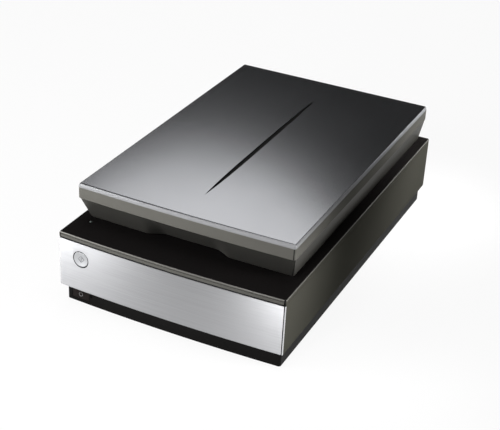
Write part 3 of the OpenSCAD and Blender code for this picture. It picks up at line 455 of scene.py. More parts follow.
def finish_mix(nt, share, before, after):
    """Change from one part of a finish, a socket or a value, to the next one's value by that share."""
    colour = isinstance(after, tuple)
    mix = nt.nodes.new("ShaderNodeMix")
    mix.data_type = "RGBA" if colour else "FLOAT"
    mix.inputs["B"].default_value = (*after, 1) if colour else after
    if isinstance(before, bpy.types.NodeSocket):
        nt.links.new(before, mix.inputs["A"])
    else:
        mix.inputs["A"].default_value = (*before, 1) if colour else before
    nt.links.new(share, mix.inputs["Factor"])
    return mix.outputs["Result"]


def zoned_paint(name, axis, edge, first, *zones):
    """Finishes of one moulding, parted along an axis; zones also serve for painted highlights and painted
    shade.
    A finish is (colour, rough, metallic), and each zone is (its start in mm, half width of the change, its
    finish)."""
    mat, nt, bsdf = new_material(name, first[0], first[1], spec=0.0)
    edge_tint(bsdf, edge)
    coord = nt.nodes.new("ShaderNodeTexCoord")
    xyz = nt.nodes.new("ShaderNodeSeparateXYZ")
    nt.links.new(coord.outputs["Object"], xyz.inputs[0])
    color, rough, metallic = first
    for start, half, finish in zones:
        share = span(nt, xyz.outputs[axis], 0, 1, (start - half) * MM, (start + half) * MM)
        color = finish_mix(nt, share, color, finish[0])
        rough = finish_mix(nt, share, rough, finish[1])
        metallic = finish_mix(nt, share, metallic, finish[2])
    vary = nt.nodes.new("ShaderNodeVectorMath")
    vary.operation = "SCALE"
    nt.links.new(color, vary.inputs[0])
    nt.links.new(span(nt, noise(nt, 9, 3), 0.97, 1.03), vary.inputs["Scale"])
    nt.links.new(vary.outputs[0], bsdf.inputs["Base Color"])
    flake = noise(nt, 1400, 2)
    nt.links.new(math_node(nt, "ADD", rough, span(nt, flake, -0.02, 0.02)), bsdf.inputs["Roughness"])
    nt.links.new(metallic, bsdf.inputs["Metallic"])
    bump(nt, bsdf, flake, 0.1, 0.00001)
    return mat


MATT = ((0.0075, 0.0068, 0.0067), 0.42, 0.0)
RIM = ((0.09, 0.088, 0.08), 0.42, 0.3)
# Lighter, glossier band on the rim's rounded top edge: a painted highlight.
RIM_EDGE_HIGHLIGHT = ((0.122, 0.119, 0.111), 0.36, 0.5)
OLIVE = ((0.094, 0.0915, 0.0825), 0.5, 0.12)
# Light grey on the lid's bevel: a painted highlight.
BEVEL_HIGHLIGHT = ((0.21, 0.212, 0.218), 0.42, 0.2)
SILVER = ((0.25, 0.253, 0.263), 0.16, 0.98)
BUTTON = ((0.5, 0.505, 0.52), 0.4, 0.95)

M = {
    "grey_shell": paint("grey_paint", (0.08, 0.078, 0.071), 0.46, 0.8, edge=0.7),
    "black_shell": plastic("black_matt", (0.005, 0.0047, 0.0046), 0.5, grain=700, strength=0.3, spec=0.04),
    "bright_steel": metal("zinc_steel", (0.52, 0.52, 0.53), 0.3, stretch=(1, 0.15, 1), scale=500),
    "bronze": metal("sintered_bronze", (0.5, 0.34, 0.17), 0.38, scale=900),
    "clear_glass": glass("float_glass", (0.93, 0.98, 0.96)),
    "diffuser": plastic("opal_acrylic", (0.78, 0.8, 0.82), 0.22, grain=300, vary=0.03),
    "white_plastic": plastic("white_foam", (0.8, 0.8, 0.78), 0.62, grain=420, depth=0.0001, strength=0.35,
                             vary=0.03),
    "nylon": plastic("acetal", (0.62, 0.6, 0.52), 0.4, grain=600, vary=0.05),
    "circuit_green": plastic("solder_mask", (0.015, 0.11, 0.045), 0.28, grain=260, depth=0.00008, vary=0.3),
    "soft_rubber": plastic("rubber", (0.02, 0.02, 0.02), 0.7, grain=500, depth=0.00008, strength=0.4,
                           spec=0.3),
    "lamp_tube": plastic("phosphor", (0.8, 0.8, 0.77), 0.25, grain=300, vary=0.02),
    "front_mirror": metal("silvered", (0.85, 0.87, 0.9), 0.04, scale=200, depth=0.000005),
    "light_lens": plastic("lens_green", (0.05, 0.065, 0.058), 0.12, grain=300, vary=0.05),
    "silver_panel": brushed_panel(),
    # The button is silver at its face; from 1.5 mm behind it, its side, flange and stem are matt black as
    # painted shade of the gap round it.
    "silver_button": zoned_paint("button_finish_with_gap_shade", "Y", 0.9, BUTTON, (button_lo[1] + 1.5, 0.1, MATT)),

    # The deck: rim band, a lighter band on its rounded top edge as painted highlight, and the matt top.
    "deck": zoned_paint("deck_finish_with_edge_highlight", "Z", 0.55, RIM, (DECK_Z - 1.5, 0.2, RIM_EDGE_HIGHLIGHT),
                        (DECK_Z - 0.35, 0.15, MATT)),
    # The lid: olive band, the bevel painted lighter as a highlight, and the silver top.
    "lid": zoned_paint("lid_finish_with_bevel_highlight", "Z", 0.3, OLIVE, (LID_Z - 5.0, 0.3, BEVEL_HIGHLIGHT),
                       (LID_Z - 0.3, 0.15, SILVER)),
    "cover": paint("cover_paint", (0.044, 0.043, 0.036), 0.4, 0.15, edge=0.35),
    "panel_edge": paint("panel_edge", (0.62, 0.625, 0.64), 0.26, 0.98, edge=1.0),
    "key": plastic("key_face", (0.012, 0.0095, 0.009), 0.4, grain=600, spec=0.04),
    "slit_black": plastic("slit_matt", (0.003, 0.003, 0.003), 0.6, grain=600, spec=0.05),
    # Black for the pieces that stand in for shade in gaps, grooves and the rim's notch: painted shade.
    "gap": plastic("gap_painted_shade", (0.005, 0.005, 0.005), 0.6, grain=600, spec=0.1),
    "icon": plastic("icon_print", (0.08, 0.085, 0.09), 0.5, grain=600, spec=0.2),
    "icon_grey": plastic("icon_grey", (0.3, 0.3, 0.3), 0.5, grain=600),
}

# ---------------------------------------------------------------- deck with its rim
DECK_ROUND = 1.6
SEAM_Z0, SEAM_Z1, SEAM_DEPTH = RIM_Z + 4.0, RIM_Z + 4.9, 1.1
GLASS_LAP = 3.9
GLASS_POCKET = 4.0
SCREW_X = HALF - 13.0
SCREW_YS = (Y_FRONT + 29.0, 0.0, Y_REAR - 29.0)
SCREW_POST_R, SCREW_BORE_R = 4.5, 1.5
SCREW_POST_BOTTOM = DECK_Z - 20.0
NOTCH_X0, NOTCH_X1 = HALF - 3.0, HALF - 0.45
LIGHT_X = (light_lo[0] + light_hi[0]) / 2
LIGHT_Y = (light_lo[1] + light_hi[1]) / 2


def rim_ring(inset, z, width):
    """Outline of the base at height z, over that width and moved in by the inset."""
    return ring(outline(width, Y_FRONT + RIM_BACK, Y_REAR, BASE_R, BASE_CORNER, inset), z)


def deck_outside():
    """Rounded top edge, the rim with its seam, and the rim's inside up to the plate."""
    levels = ((0, DECK_Z - DECK_ROUND - 0.05),
              (0, SEAM_Z1), (SEAM_DEPTH, SEAM_Z1 - 0.2), (SEAM_DEPTH, SEAM_Z0 + 0.2), (0, SEAM_Z0),
              (0, RIM_Z + 0.5), (0.5, RIM_Z), (RIM_T, RIM_Z), (RIM_T, DECK_Z - DECK_T))
    rings = [rim_ring(inset, DECK_Z - drop, BASE_W) for inset, drop in rounding(DECK_ROUND, 5)]
    return rings + [rim_ring(inset, z, BASE_W - 2 * RIM_PLATE_T) for inset, z in levels]


def glass_opening():
    """Window over the glass with the pocket that holds the glass from below."""
    lo = (strip_lo[0], glass_lo[1] + GLASS_LAP)
    hi = (strip_hi[0], glass_hi[1] - GLASS_LAP)
    levels = ((0.5, DECK_Z, 1.5), (0.15, DECK_Z - 0.15, 1.0), (0, DECK_Z - 0.5, 1.0), (0, glass_hi[2], 1.0),
              (GLASS_POCKET, glass_hi[2], 1.0), (GLASS_POCKET, DECK_Z - DECK_T, 1.0))
    return [rect_ring(lo, hi, grow, z, r) for grow, z, r in levels]


def post_opening(side):
    """Opening for a hinge post, eased at the top."""
    lo, hi = mm("hinge_post_" + side)
    levels = ((0.7, DECK_Z), (0.3, DECK_Z - 0.4), (0.3, DECK_Z - DECK_T))
    return [rect_ring(lo, hi, grow, z, 0.4) for grow, z in levels]


def light_opening():
    """Round opening for the status light, eased at the top."""
    levels = ((2.9, DECK_Z), (2.5, DECK_Z - 0.4), (2.3, DECK_Z - DECK_T))
    return [ring(circle(LIGHT_X, LIGHT_Y, r), z) for r, z in levels]


def screw_post(bm, x, y):
    """Post below the deck plate, with the bore for a base screw."""
    ends = (DECK_Z - DECK_T, SCREW_POST_BOTTOM)
    wall = [ring(circle(x, y, SCREW_POST_R), z) for z in ends]
    bore = [ring(circle(x, y, SCREW_BORE_R), z) for z in ends]
    solid(bm, wall, [bore])


def rim_notch(deck):
    """Notch in the rim above the panel's right end, and a black block behind it as painted shade in the
    notch.
    """
    bm = bmesh.new()
    slab(bm, (NOTCH_X0, Y_FRONT - 2, RIM_Z - 2), (NOTCH_X1, Y_CORNER + 3.4, DECK_Z + 2), r=0.2, corner=0.9)
    cut(deck, bm)
    bm = bmesh.new()
    lo, hi = (NOTCH_X0 + 0.02, Y_CORNER + 0.9, RIM_Z), (NOTCH_X1 - 0.02, Y_CORNER + 4.6, DECK_Z - 0.5)
    slab(bm, lo, hi, r=0.2, corner=0.3)
    piece(bm, "rim_notch_shade", M["gap"], "base")


def rim_plate(side, sign):
    """Thin plate beside the rim, so that the side reads as one finish."""
    bm = bmesh.new()
    x0, x1 = sorted((sign * (HALF - RIM_PLATE_T + 0.03), sign * HALF))
    slab(bm, (x0, Y_CORNER + 0.6, RIM_Z + 0.25), (x1, Y_REAR - 1.5, DECK_Z - 1.68), r=0.2, corner=0.3, n=3)
    piece(bm, f"rim_side_{side}", M["cover"], "base")


bm = bmesh.new()
solid(bm, deck_outside(), [glass_opening(), post_opening("left"), post_opening("right"), light_opening()])
for x in (-SCREW_X, SCREW_X):
    for y in SCREW_YS:
        screw_post(bm, x, y)
deck = to_object(bm, "deck_shell")
rim_notch(deck)
rim_plate("left", -1)
rim_plate("right", 1)
dress(deck, M["deck"], "base", ["deck_frame"])

# ---------------------------------------------------------------- front panel
FACE_X = HALF - 2.2
FACE_TOP = PANEL_TOP - 0.65
END_X = HALF - 1.1
END_Y = bow_y(END_X) + 1.6
FOLD_R = 0.5
FOLD_T = 1.2
TRIM_GAP = 0.15
TRIM_BACK, TRIM_SLOPE, TRIM_DEPTH = 0.2, 1.3, 7.0
LIP_T = 0.8
LIP_GAP = 0.1
BUTTON_X = (button_lo[0] + button_hi[0]) / 2
BUTTON_Z = (button_lo[2] + button_hi[2]) / 2
BUTTON_CENTRE = (BUTTON_X, bow_y(BUTTON_X), BUTTON_Z)


def fold(cx, cy, sign, inset):
    """Quarter turn of a fold at an end of the front, from the face to the side."""
    r = FOLD_R - inset
    return [(cx + sign * r * math.sin(a), cy - r * math.cos(a)) for a in steps(0, math.pi / 2, 6)]


def panel_ring(inset, z):
    """Plan of the bowed face plate, moved in by the inset; it folds round the left corner."""
    xs = steps(FACE_X - inset, FOLD_R - HALF, 90)
    front = [(x, bow_y(x, inset)) for x in xs]
    front += fold(FOLD_R - HALF, bow_y(HALF - FOLD_R) + FOLD_R, -1, inset)[1:]
    front += [(inset - HALF, END_Y - inset), (FOLD_T - HALF, END_Y - inset)]
    back = [(x, bow_y(x, PANEL_T)) for x in xs if x > FOLD_T + 0.1 - HALF]
    return ring(front[::-1] + back, z)


def trim_ring(inset, z):
    """Plan of the right end's trim: it slopes in behind the face plate, with a step for the side cover."""
    x0, x1 = FACE_X + TRIM_GAP + inset, HALF - LIP_T - inset
    y0, y1 = bow_y(END_X) + TRIM_BACK, END_Y - inset
    y2 = y0 + TRIM_DEPTH
    pts = [(x0, y0 + TRIM_SLOPE), (END_X + inset, y0 + inset)]
    pts += fold(HALF - FOLD_R, y0 + FOLD_R, 1, inset)
    return ring(pts + [(HALF - inset, y1), (x1, y1), (x1, y2), (x0, y2)], z)


def face_plate():
    """Brushed plate with the button's hole; its UV map runs along the brushing."""
    bm = bmesh.new()
    eased = ((0.4, 0), (0.12, 0.12), (0, 0.4))
    rings = [panel_ring(inset, FACE_TOP - drop) for inset, drop in eased]
    solid(bm, rings + [panel_ring(inset, PANEL_Z + drop) for inset, drop in reversed(eased)])
    plate = to_object(bm, "panel_shell")
    bm = bmesh.new()
    lathe(bm, [(0, -6), (BUTTON_HOLE_R, -6), (BUTTON_HOLE_R, 8), (0, 8)], BUTTON_CENTRE, along_y=True, n=72)
    cut(plate, bm)
    uv = plate.data.uv_layers.new(name="UVMap")
    for loop in plate.data.loops:
        x, y, z = plate.data.vertices[loop.vertex_index].co
        uv.data[loop.index].uv = (x * 3 + y * 0.01, z * 3)
    dress(plate, M["silver_panel"], "base", ["front_panel"], 25)


def panel_top_gap_shade():
    """Black strip in the gap between the face plate and the rim: painted shade of the gap."""
    bm = bmesh.new()
    xs = steps(0.1 - FACE_X, FACE_X - 0.1, 60)
    plan = [(x, bow_y(x, 0.75)) for x in xs] + [(x, bow_y(x, PANEL_T)) for x in reversed(xs)]
    solid(bm, [ring(plan, RIM_Z - 0.02), ring(plan, FACE_TOP + 0.02)])
    piece(bm, "panel_top_gap_shade", M["gap"], "base")


def panel_trim():
    """Bright trim at the panel's right end."""
    bm = bmesh.new()
    levels = ((0.2, PANEL_TOP), (0, PANEL_TOP - 0.2), (0, PANEL_Z + 0.2), (0.2, PANEL_Z))
    solid(bm, [trim_ring(inset, z) for inset, z in levels])
    piece(bm, "panel_trim", M["panel_edge"], "base")


def panel_end_gap_shade():
    """Black slab on the face plate's end wall, in the gap before the trim: painted shade of the gap."""
    bm = bmesh.new()
    y = bow_y(FACE_X)
    lo, hi = (FACE_X + 0.02, y + 0.12, PANEL_Z + 0.3), (FACE_X + 0.13, y + 4.0, PANEL_TOP - 0.8)
    slab(bm, lo, hi, r=0.02, corner=0.05)
    piece(bm, "panel_end_gap_shade", M["gap"], "base")


face_plate()
panel_top_gap_shade()
panel_trim()
panel_end_gap_shade()


# ---------------------------------------------------------------- side and rear covers
def side_cover(side, sign):
    """Side cover with the thin lip that laps the panel's end."""
    lo, hi = mm("side_cover_" + side)
    inside = min(abs(lo[0]), abs(hi[0]))

    def cover_ring(inset, z):
        x0, x1, lip = inside + inset, HALF - inset, HALF - LIP_T + 0.05 + inset
        y0, y1, y2 = END_Y + LIP_GAP + inset, lo[1] + inset, hi[1] - inset
        pts = [(lip, y0), (x1 - 0.3, y0), (x1, y0 + 0.3), (x1, y2 - 0.5), (x1 - 0.5, y2)]
        pts += [(x0, y2), (x0, y1), (lip, y1)]
        return ring([(sign * x, y) for x, y in pts], z)

    bm = bmesh.new()
    rings = [cover_ring(inset, hi[2] - drop) for inset, drop in rounding(0.35, 3)]
    solid(bm, rings + [cover_ring(inset, lo[2] + drop) for inset, drop in rounding(0.35, 3, flip=True)])
    piece(bm, f"cover_{side}_shell", M["cover"], "base", ["side_cover_" + side])


def rear_ring(lo, hi, grow, y):
    """Rounded rectangle round a node as it is seen from behind, as (x, z, y)."""
    return rect_ring((lo[0], lo[2]), (hi[0], hi[2]), grow, y, 0.8)


def rear_cover():
    """Rear wall with an opening for each socket."""
    rings = [rear_ring(rear_lo, rear_hi, -inset, rear_hi[1] - drop) for inset, drop in rounding(0.5, 3)]
    rings.append(rear_ring(rear_lo, rear_hi, 0, rear_lo[1]))
    levels = ((0.9, rear_hi[1]), (0.45, rear_hi[1] - 0.4), (0.4, rear_lo[1]))
    sockets = ("usb_socket", "power_inlet", "lid_socket")
    holes = [[rear_ring(*mm(node), grow, y) for grow, y in levels] for node in sockets]
    bm = bmesh.new()
    solid(bm, rings, holes, place=lambda x, z, y: (x, y, z))
    piece(bm, "rear_shell", M["cover"], "base", ["rear_cover"])


side_cover("left", -1)
side_cover("right", 1)
rear_cover()

# ---------------------------------------------------------------- lid cover
LID_ARC = 48
BEVEL_W, BEVEL_H = 2.0, 5.5
TOP_IN = 6.0
GROOVE_IN, GROOVE_OUT, GROOVE_DEPTH = 3.5, 2.3, 0.9
SLIT_Y = (slit_lo[1] + slit_hi[1]) / 2 + 3.0
SLIT_L, SLIT_W, SLIT_DEPTH = 334.0, 6.4, 1.6


def lid_plan(inset):
    return outline(LID_W, LID_Y0, LID_Y1, LID_R, LID_CORNER, inset, LID_ARC)


def lid_ring(inset, z):
    return ring(lid_plan(inset), z)


def groove_ring(inset, drop):
    """Ring in the top face that drops only along the front edge."""
    return [(x, y, LID_Z - (drop if i <= LID_ARC else 0)) for i, (x, y) in enumerate(lid_plan(inset))]


def slit_ring(inset, z):
    return ring(lens(SLIT_Y, SLIT_L, SLIT_W, inset), z)


def lid_cover():
    """Top face with the front groove and the slit's pocket, the bevel, and the band down to the skirt."""
    rings = [lid_ring(TOP_IN, LID_Z), groove_ring(GROOVE_IN + 0.1, 0), groove_ring(GROOVE_IN, GROOVE_DEPTH),
             groove_ring(GROOVE_OUT, GROOVE_DEPTH), groove_ring(GROOVE_OUT - 0.1, 0)]
    for a in steps(0, 1, 10):
        rings.append(lid_ring(BEVEL_W * (1 - a) ** 1.9, LID_Z - 0.05 - (BEVEL_H - 0.05) * a ** 1.5))
    levels = ((0, BAND_Z + 0.3), (0.25, BAND_Z), (WALL, BAND_Z), (WALL, LID_Z - WALL))
    rings += [lid_ring(inset, z) for inset, z in levels]
    pocket_levels = ((-0.8, LID_Z), (-0.05, LID_Z), (0, LID_Z - 0.05), (0.02, LID_Z - SLIT_DEPTH))
    bm = bmesh.new()
    shell = tube(bm, rings)
    pocket = tube(bm, [slit_ring(inset, z) for inset, z in pocket_levels])
    fill(bm, [shell[0], pocket[0]])
    fill(bm, [pocket[-1]])
    fill(bm, [shell[-1]])
    piece(bm, "lid_shell", M["lid"], "lid", ["lid_cover"], 30)


def slit_tray():
    """Black tray in the slit's pocket: its floor, inner wall, rim and outside."""
    bm = bmesh.new()
    levels = ((0.35, 1.4), (0.3, 0.25), (0.02, 0.2), (0.02, SLIT_DEPTH - 0.05))
    solid(bm, [slit_ring(inset, LID_Z - drop) for inset, drop in levels])
    piece(bm, "slit_tray", M["slit_black"], "lid", ["slit_insert"])


def lid_groove_shade():
    """Black strip in the groove behind the lid's front edge: painted shade in the groove."""
    outer, inner = lid_plan(GROOVE_OUT - 0.02)[: LID_ARC + 1], lid_plan(GROOVE_IN + 0.02)[: LID_ARC + 1]
    plan = outer + inner[::-1]
    bm = bmesh.new()
    solid(bm, [ring(plan, LID_Z - 0.25), ring(plan, LID_Z - GROOVE_DEPTH + 0.01)])
    piece(bm, "lid_groove_shade", M["gap"], "lid")


lid_cover()
slit_tray()
lid_groove_shade()

# ---------------------------------------------------------------- lid skirt with the finger scoop
SKIRT_ARC = 96
SKIRT_STEP, SKIRT_SIDE_STEP = 3.0, 0.4
SKIRT_IN, SKIRT_FRONT_IN, SKIRT_REAR_IN = 7.0, 18.0, 2.0
SCOOP_DEPTH = 10.0
SCOOP_LEFT, SCOOP_RIGHT = (-60, -34), (34, 58)
PLATE_Z = LID_BOTTOM + 3.0
PLATE_TOP = PLATE_Z + 2.5
WINDOW_LAP = 5.0
HINGE_Y, HINGE_Z = (pin_lo[1] + pin_hi[1]) / 2, (pin_lo[2] + pin_hi[2]) / 2
RECESS_R, RECESS_HALF_W, RECESS_BACK = 6.2, 14.0, 20.0


def ease(a, b, x):
    """Smooth rise from 0 at a to 1 at b."""
    t = min(max((x - a) / (b - a), 0), 1)
    return t * t * (3 - 2 * t)


def skirt_plan(z, inset=0.0):
    """Outline of the skirt's outside at height z, moved in by the inset; the scoop deepens downwards."""
    down = (BAND_Z - z) / (BAND_Z - LID_BOTTOM)
    top = outline(LID_W, LID_Y0, LID_Y1, LID_R, LID_CORNER, SKIRT_STEP + inset, SKIRT_ARC, side=6)
    wider = (LID_W / 2 - SKIRT_SIDE_STEP - inset) / (LID_W / 2 - SKIRT_STEP - inset)
    low = outline(LID_W - 2 * SKIRT_IN, LID_Y0 + SKIRT_FRONT_IN, LID_Y1 - SKIRT_REAR_IN, LID_R * 1.6,
                  LID_CORNER, inset, SKIRT_ARC, side=6)
    pts = []
    for i, ((xa, ya), (xb, yb)) in enumerate(zip(top, low)):
        x, y = xa * wider + (xb - xa * wider) * down, ya + (yb - ya) * down
        if i <= SKIRT_ARC:
            y += SCOOP_DEPTH * down * ease(*SCOOP_LEFT, x) * (1 - ease(*SCOOP_RIGHT, x))
        pts.append((x, y))
    return pts


def skirt_ring(z, inset=0.0, plan_z=None):
    """Ring at height z; its plan may be the one of another height."""
    return ring(skirt_plan(z if plan_z is None else plan_z, inset), z)


def hinge_recess(skirt, side):
    """Recess in the skirt for a hinge post's head."""
    lo, hi = mm("hinge_post_" + side)
    x = (lo[0] + hi[0]) / 2
    front_low = (x - RECESS_HALF_W, HINGE_Y - RECESS_R, LID_BOTTOM - 3)
    rear_high = (x + RECESS_HALF_W, HINGE_Y + RECESS_BACK, HINGE_Z + RECESS_R)
    bm = bmesh.new()
    slab(bm, front_low, rear_high, r=0.3, corner=1.0)
    cut(skirt, bm)


def lid_skirt():
    """Tapered wall, the floor with the window's opening, and a recess for each hinge post's head."""
    rings = [skirt_ring(PLATE_TOP, WALL), skirt_ring(BAND_Z, WALL)]
    rings += [skirt_ring(z) for z in steps(BAND_Z, LID_BOTTOM + 0.8, 10)]
    rings += [skirt_ring(LID_BOTTOM + 0.25, 0.25, LID_BOTTOM), skirt_ring(LID_BOTTOM, 0.8),
              skirt_ring(LID_BOTTOM, WALL), skirt_ring(PLATE_Z, WALL)]
    bm = bmesh.new()
    solid(bm, rings, [[rect_ring(window_lo, window_hi, -WINDOW_LAP, z, 1.0) for z in (PLATE_TOP, PLATE_Z)]])
    skirt = to_object(bm, "skirt_shell")
    hinge_recess(skirt, "left")
    hinge_recess(skirt, "right")
    dress(skirt, M["grey_shell"], "lid", ["lid_skirt"], 24)


def lid_corner_shade_line():
    """Black line down the lid's right front corner, on the band and on the skirt: painted shade where the
    front and side faces meet.
    """
    def strip(plan_at, arc, z):
        outer, inner = (plan_at(z, inset)[arc + 1: arc + 4] for inset in (-0.04, 0.4))
        return ring(outer + inner[::-1], z)

    bm = bmesh.new()
    solid(bm, [strip(lambda z, inset: lid_plan(inset), LID_ARC, z) for z in (LID_Z - 5.3, BAND_Z + 0.35)])
    solid(bm, [strip(skirt_plan, SKIRT_ARC, z) for z in steps(BAND_Z - 0.1, LID_BOTTOM + 0.5, 8)])
    piece(bm, "lid_corner_shade_line", M["gap"], "lid")


lid_skirt()
lid_corner_shade_line()

# ---------------------------------------------------------------- scan button
DISH_R = BUTTON_R - 1.1
DISH_DEPTH = 1.1
FLANGE_R = BUTTON_R + 1.4
FLANGE_FRONT, FLANGE_BACK = 2.9, 4.2
STEM_R, STEM_FRONT = 2.0, 9.0


def dish(r):
    """How far behind the button's front its face lies at radius r."""
    return 0.1 + DISH_DEPTH * (1 - (r / DISH_R) ** 2)


def button_profile():
    """Dished face, rounded rim and straight side, as (radius, distance behind the button's front)."""
    back = button_hi[1] - button_lo[1] - 1
    rim = [(BUTTON_R - 0.7, 0), (BUTTON_R - 0.2, 0.03), (BUTTON_R - 0.06, 0.12), (BUTTON_R, 0.3)]
    return [(r, dish(r)) for r in steps(0, DISH_R, 12)] + rim + [(BUTTON_R, back), (0, back)]


def scan_button():
    """Button with its flange and stem."""
    bm = bmesh.new()
    lathe(bm, button_profile(), (BUTTON_X, button_lo[1], BUTTON_Z), along_y=True, n=72)
    flange = [(0, FLANGE_FRONT), (FLANGE_R, FLANGE_FRONT), (FLANGE_R, FLANGE_BACK), (0, FLANGE_BACK)]
    lathe(bm, flange, BUTTON_CENTRE, along_y=True)
    stem_end = button_hi[1] - BUTTON_CENTRE[1]
    stem = [(0, STEM_FRONT), (STEM_R, STEM_FRONT), (STEM_R, stem_end), (0, stem_end)]
    lathe(bm, stem, BUTTON_CENTRE, along_y=True, n=24)
    piece(bm, "scan_button_face", M["silver_button"], "scan_button", ["start_button"], 28)


def scan_symbol():
    """Diamond with an upright stroke, printed in the dish."""
    def on_button(u, v):
        return BUTTON_X + u, button_lo[1] + dish(math.hypot(u, v)) - 0.02, BUTTON_Z + v

    size = 4.2
    diamond = [(0, -size), (size, 0), (0, size), (-size, 0), (0, -size)]
    lines = [diamond, [(0, -1.9), (0, 1.9)]]
    strokes("scan_symbol", lines, 0.26, on_button, M["icon"], "scan_button")


def button_gap():
    """Black ring in the gap between the button and the panel's hole, as painted shade; it follows the panel's
    bow.
    """
    r0, r1 = BUTTON_R + 0.12, BUTTON_HOLE_R - 0.02
    bm = bmesh.new()
    rings = [[(BUTTON_X + x, bow_y(BUTTON_X + x, back), BUTTON_Z + z) for x, z in circle(0, 0, r, 72)]
             for r, back in ((r0, 0.35), (r1, 0.15), (r1, 2.2), (r0, 2.2))]
    loops = tube(bm, rings)
    bridge(bm, loops[-1], loops[0])
    piece(bm, "button_gap", M["gap"], "base")


scan_button()
scan_symbol()
button_gap()

# ---------------------------------------------------------------- power key
KEY_W, KEY_T, KEY_CORNER = 25.0, 2.3, 0.9
KEY_STEM_HALF = 3.0
PLINTH_BACK = 8.0
KEY_X = key_lo[0] + KEY_W / 2
KEY_Z = (key_lo[2] + key_hi[2]) / 2


def power_key():
    """Key face that follows the plinth's bow, with a square stem to its switch."""
    lo, hi = (key_lo[0], key_lo[2]), (key_lo[0] + KEY_W, key_hi[2])
    rings = [rect_ring(lo, hi, -inset, -drop, KEY_CORNER) for inset, drop in rounding(0.5, 3)]
    rings.append(rect_ring(lo, hi, 0, -KEY_T, KEY_CORNER))
    bm = bmesh.new()
    solid(bm, rings, place=lambda x, z, out: (x, bow_y(x, PLINTH_BACK) - out, z))
    stem_y, h = bow_y(KEY_X, PLINTH_BACK) + 1.5, KEY_STEM_HALF
    slab(bm, (KEY_X - h, stem_y, KEY_Z - h), (KEY_X + h, key_hi[1], KEY_Z + h), r=0.3)
    piece(bm, "power_key_face", M["key"], "power_key", ["power_button"])


def power_symbol():
    """Open ring with an upright stroke."""
    def on_key(u, v):
        return KEY_X + u, bow_y(KEY_X + u, PLINTH_BACK) - 0.02, KEY_Z + v

    r = 2.7
    ring_pts = [(r * math.sin(math.radians(a)), r * math.cos(math.radians(a))) for a in range(35, 326, 10)]
    lines = [ring_pts, [(0, 1.2), (0, 3.2)]]
    strokes("power_symbol", lines, 0.22, on_key, M["icon_grey"], "power_key")


power_key()
power_symbol()


# ---------------------------------------------------------------- status light, feet and document mat
def status_lens():
    """Domed lens on a flange below the deck."""
    top, bottom = light_hi[2], light_lo[2]
    r, flange_r, flange_top = 1.6, light_hi[0] - LIGHT_X, bottom + 1.5
    dome = [(0, top + 0.8), (0.6, top + 0.72), (1.1, top + 0.48), (1.45, top + 0.1), (r, top - 0.4)]
    flange = [(r, flange_top), (flange_r, flange_top), (flange_r, bottom), (0, bottom)]
    bm = bmesh.new()
    lathe(bm, dome + flange, (LIGHT_X, LIGHT_Y, 0))
    piece(bm, "status_lens", M["light_lens"], "base", ["status_light"])


def feet():
    """Four feet with two shallow grooves in their undersides."""
    r, top, groove = 8.9, feet_hi[2], 0.35
    profile = [(0, top), (r - 0.2, top), (r, top - 0.2), (r, 0.6), (r - 0.4, 0.1), (r - 0.8, 0)]
    for start in (6.5, 3.5):
        profile += [(start, 0), (start - 0.3, groove), (start - 0.9, groove), (start - 1.2, 0)]
    bm = bmesh.new()
    for x in (feet_lo[0] + r, feet_hi[0] - r):
        for y in (feet_lo[1] + r, feet_hi[1] - r):
            lathe(bm, profile + [(0, 0)], (x, y, 0))
    piece(bm, "feet", M["soft_rubber"], "base", ["rubber_feet"])


def document_mat():
    """Mat with rounded edges, the lower one rounder."""
    def mat_ring(inset, z):
        return rect_ring(mat_lo, mat_hi, -inset, z, 4 - inset, 8)

    bm = bmesh.new()
    rings = [mat_ring(inset, mat_hi[2] - drop) for inset, drop in rounding(0.5, 2)]
    solid(bm, rings + [mat_ring(inset, mat_lo[2] + drop) for inset, drop in rounding(0.9, 3, flip=True)])
    piece(bm, "mat_pad", M["white_plastic"], "mat", ["document_mat"])


status_lens()
feet()
document_mat()

# ---------------------------------------------------------------- materials of the CAD nodes
for subpart in frame["record"]["subparts"]:
    materials = frame["nodes"][subpart["node"]].data.materials
    materials.clear()
    materials.append(M[subpart["material_slot"]])


# ---------------------------------------------------------------- stage and world
def polished_rays(nt):
    """The light path, and a socket that is 1 for the rays which mirrors and glass send out."""
    path = nt.nodes.new("ShaderNodeLightPath")
    return path, math_node(nt, "MAXIMUM", path.outputs["Is Glossy Ray"], path.outputs["Is Transmission Ray"])


def build_floor():
    """Matt floor that the camera and polished faces see as nearly white."""
    mat, nt, bsdf = new_material("floor", (0.92, 0.92, 0.92), 0.9, spec=0.0)
    glow = nt.nodes.new("ShaderNodeEmission")
    glow.inputs["Color"].default_value = (1, 1, 1, 1)
    glow.inputs["Strength"].default_value = 1.0
    path, polished = polished_rays(nt)
    seen = math_node(nt, "MAXIMUM", path.outputs["Is Camera Ray"], polished)
    mix = nt.nodes.new("ShaderNodeMixShader")
    nt.links.new(math_node(nt, "MULTIPLY", seen, 0.9), mix.inputs[0])
    nt.links.new(bsdf.outputs[0], mix.inputs[1])
    nt.links.new(glow.outputs[0], mix.inputs[2])
    nt.links.new(mix.outputs[0], nt.nodes["Material Output"].inputs["Surface"])
    bm = bmesh.new()
    bmesh.ops.create_grid(bm, x_segments=1, y_segments=1, size=20)
    floor = to_object(bm, "floor")
    floor.data.materials.append(mat)


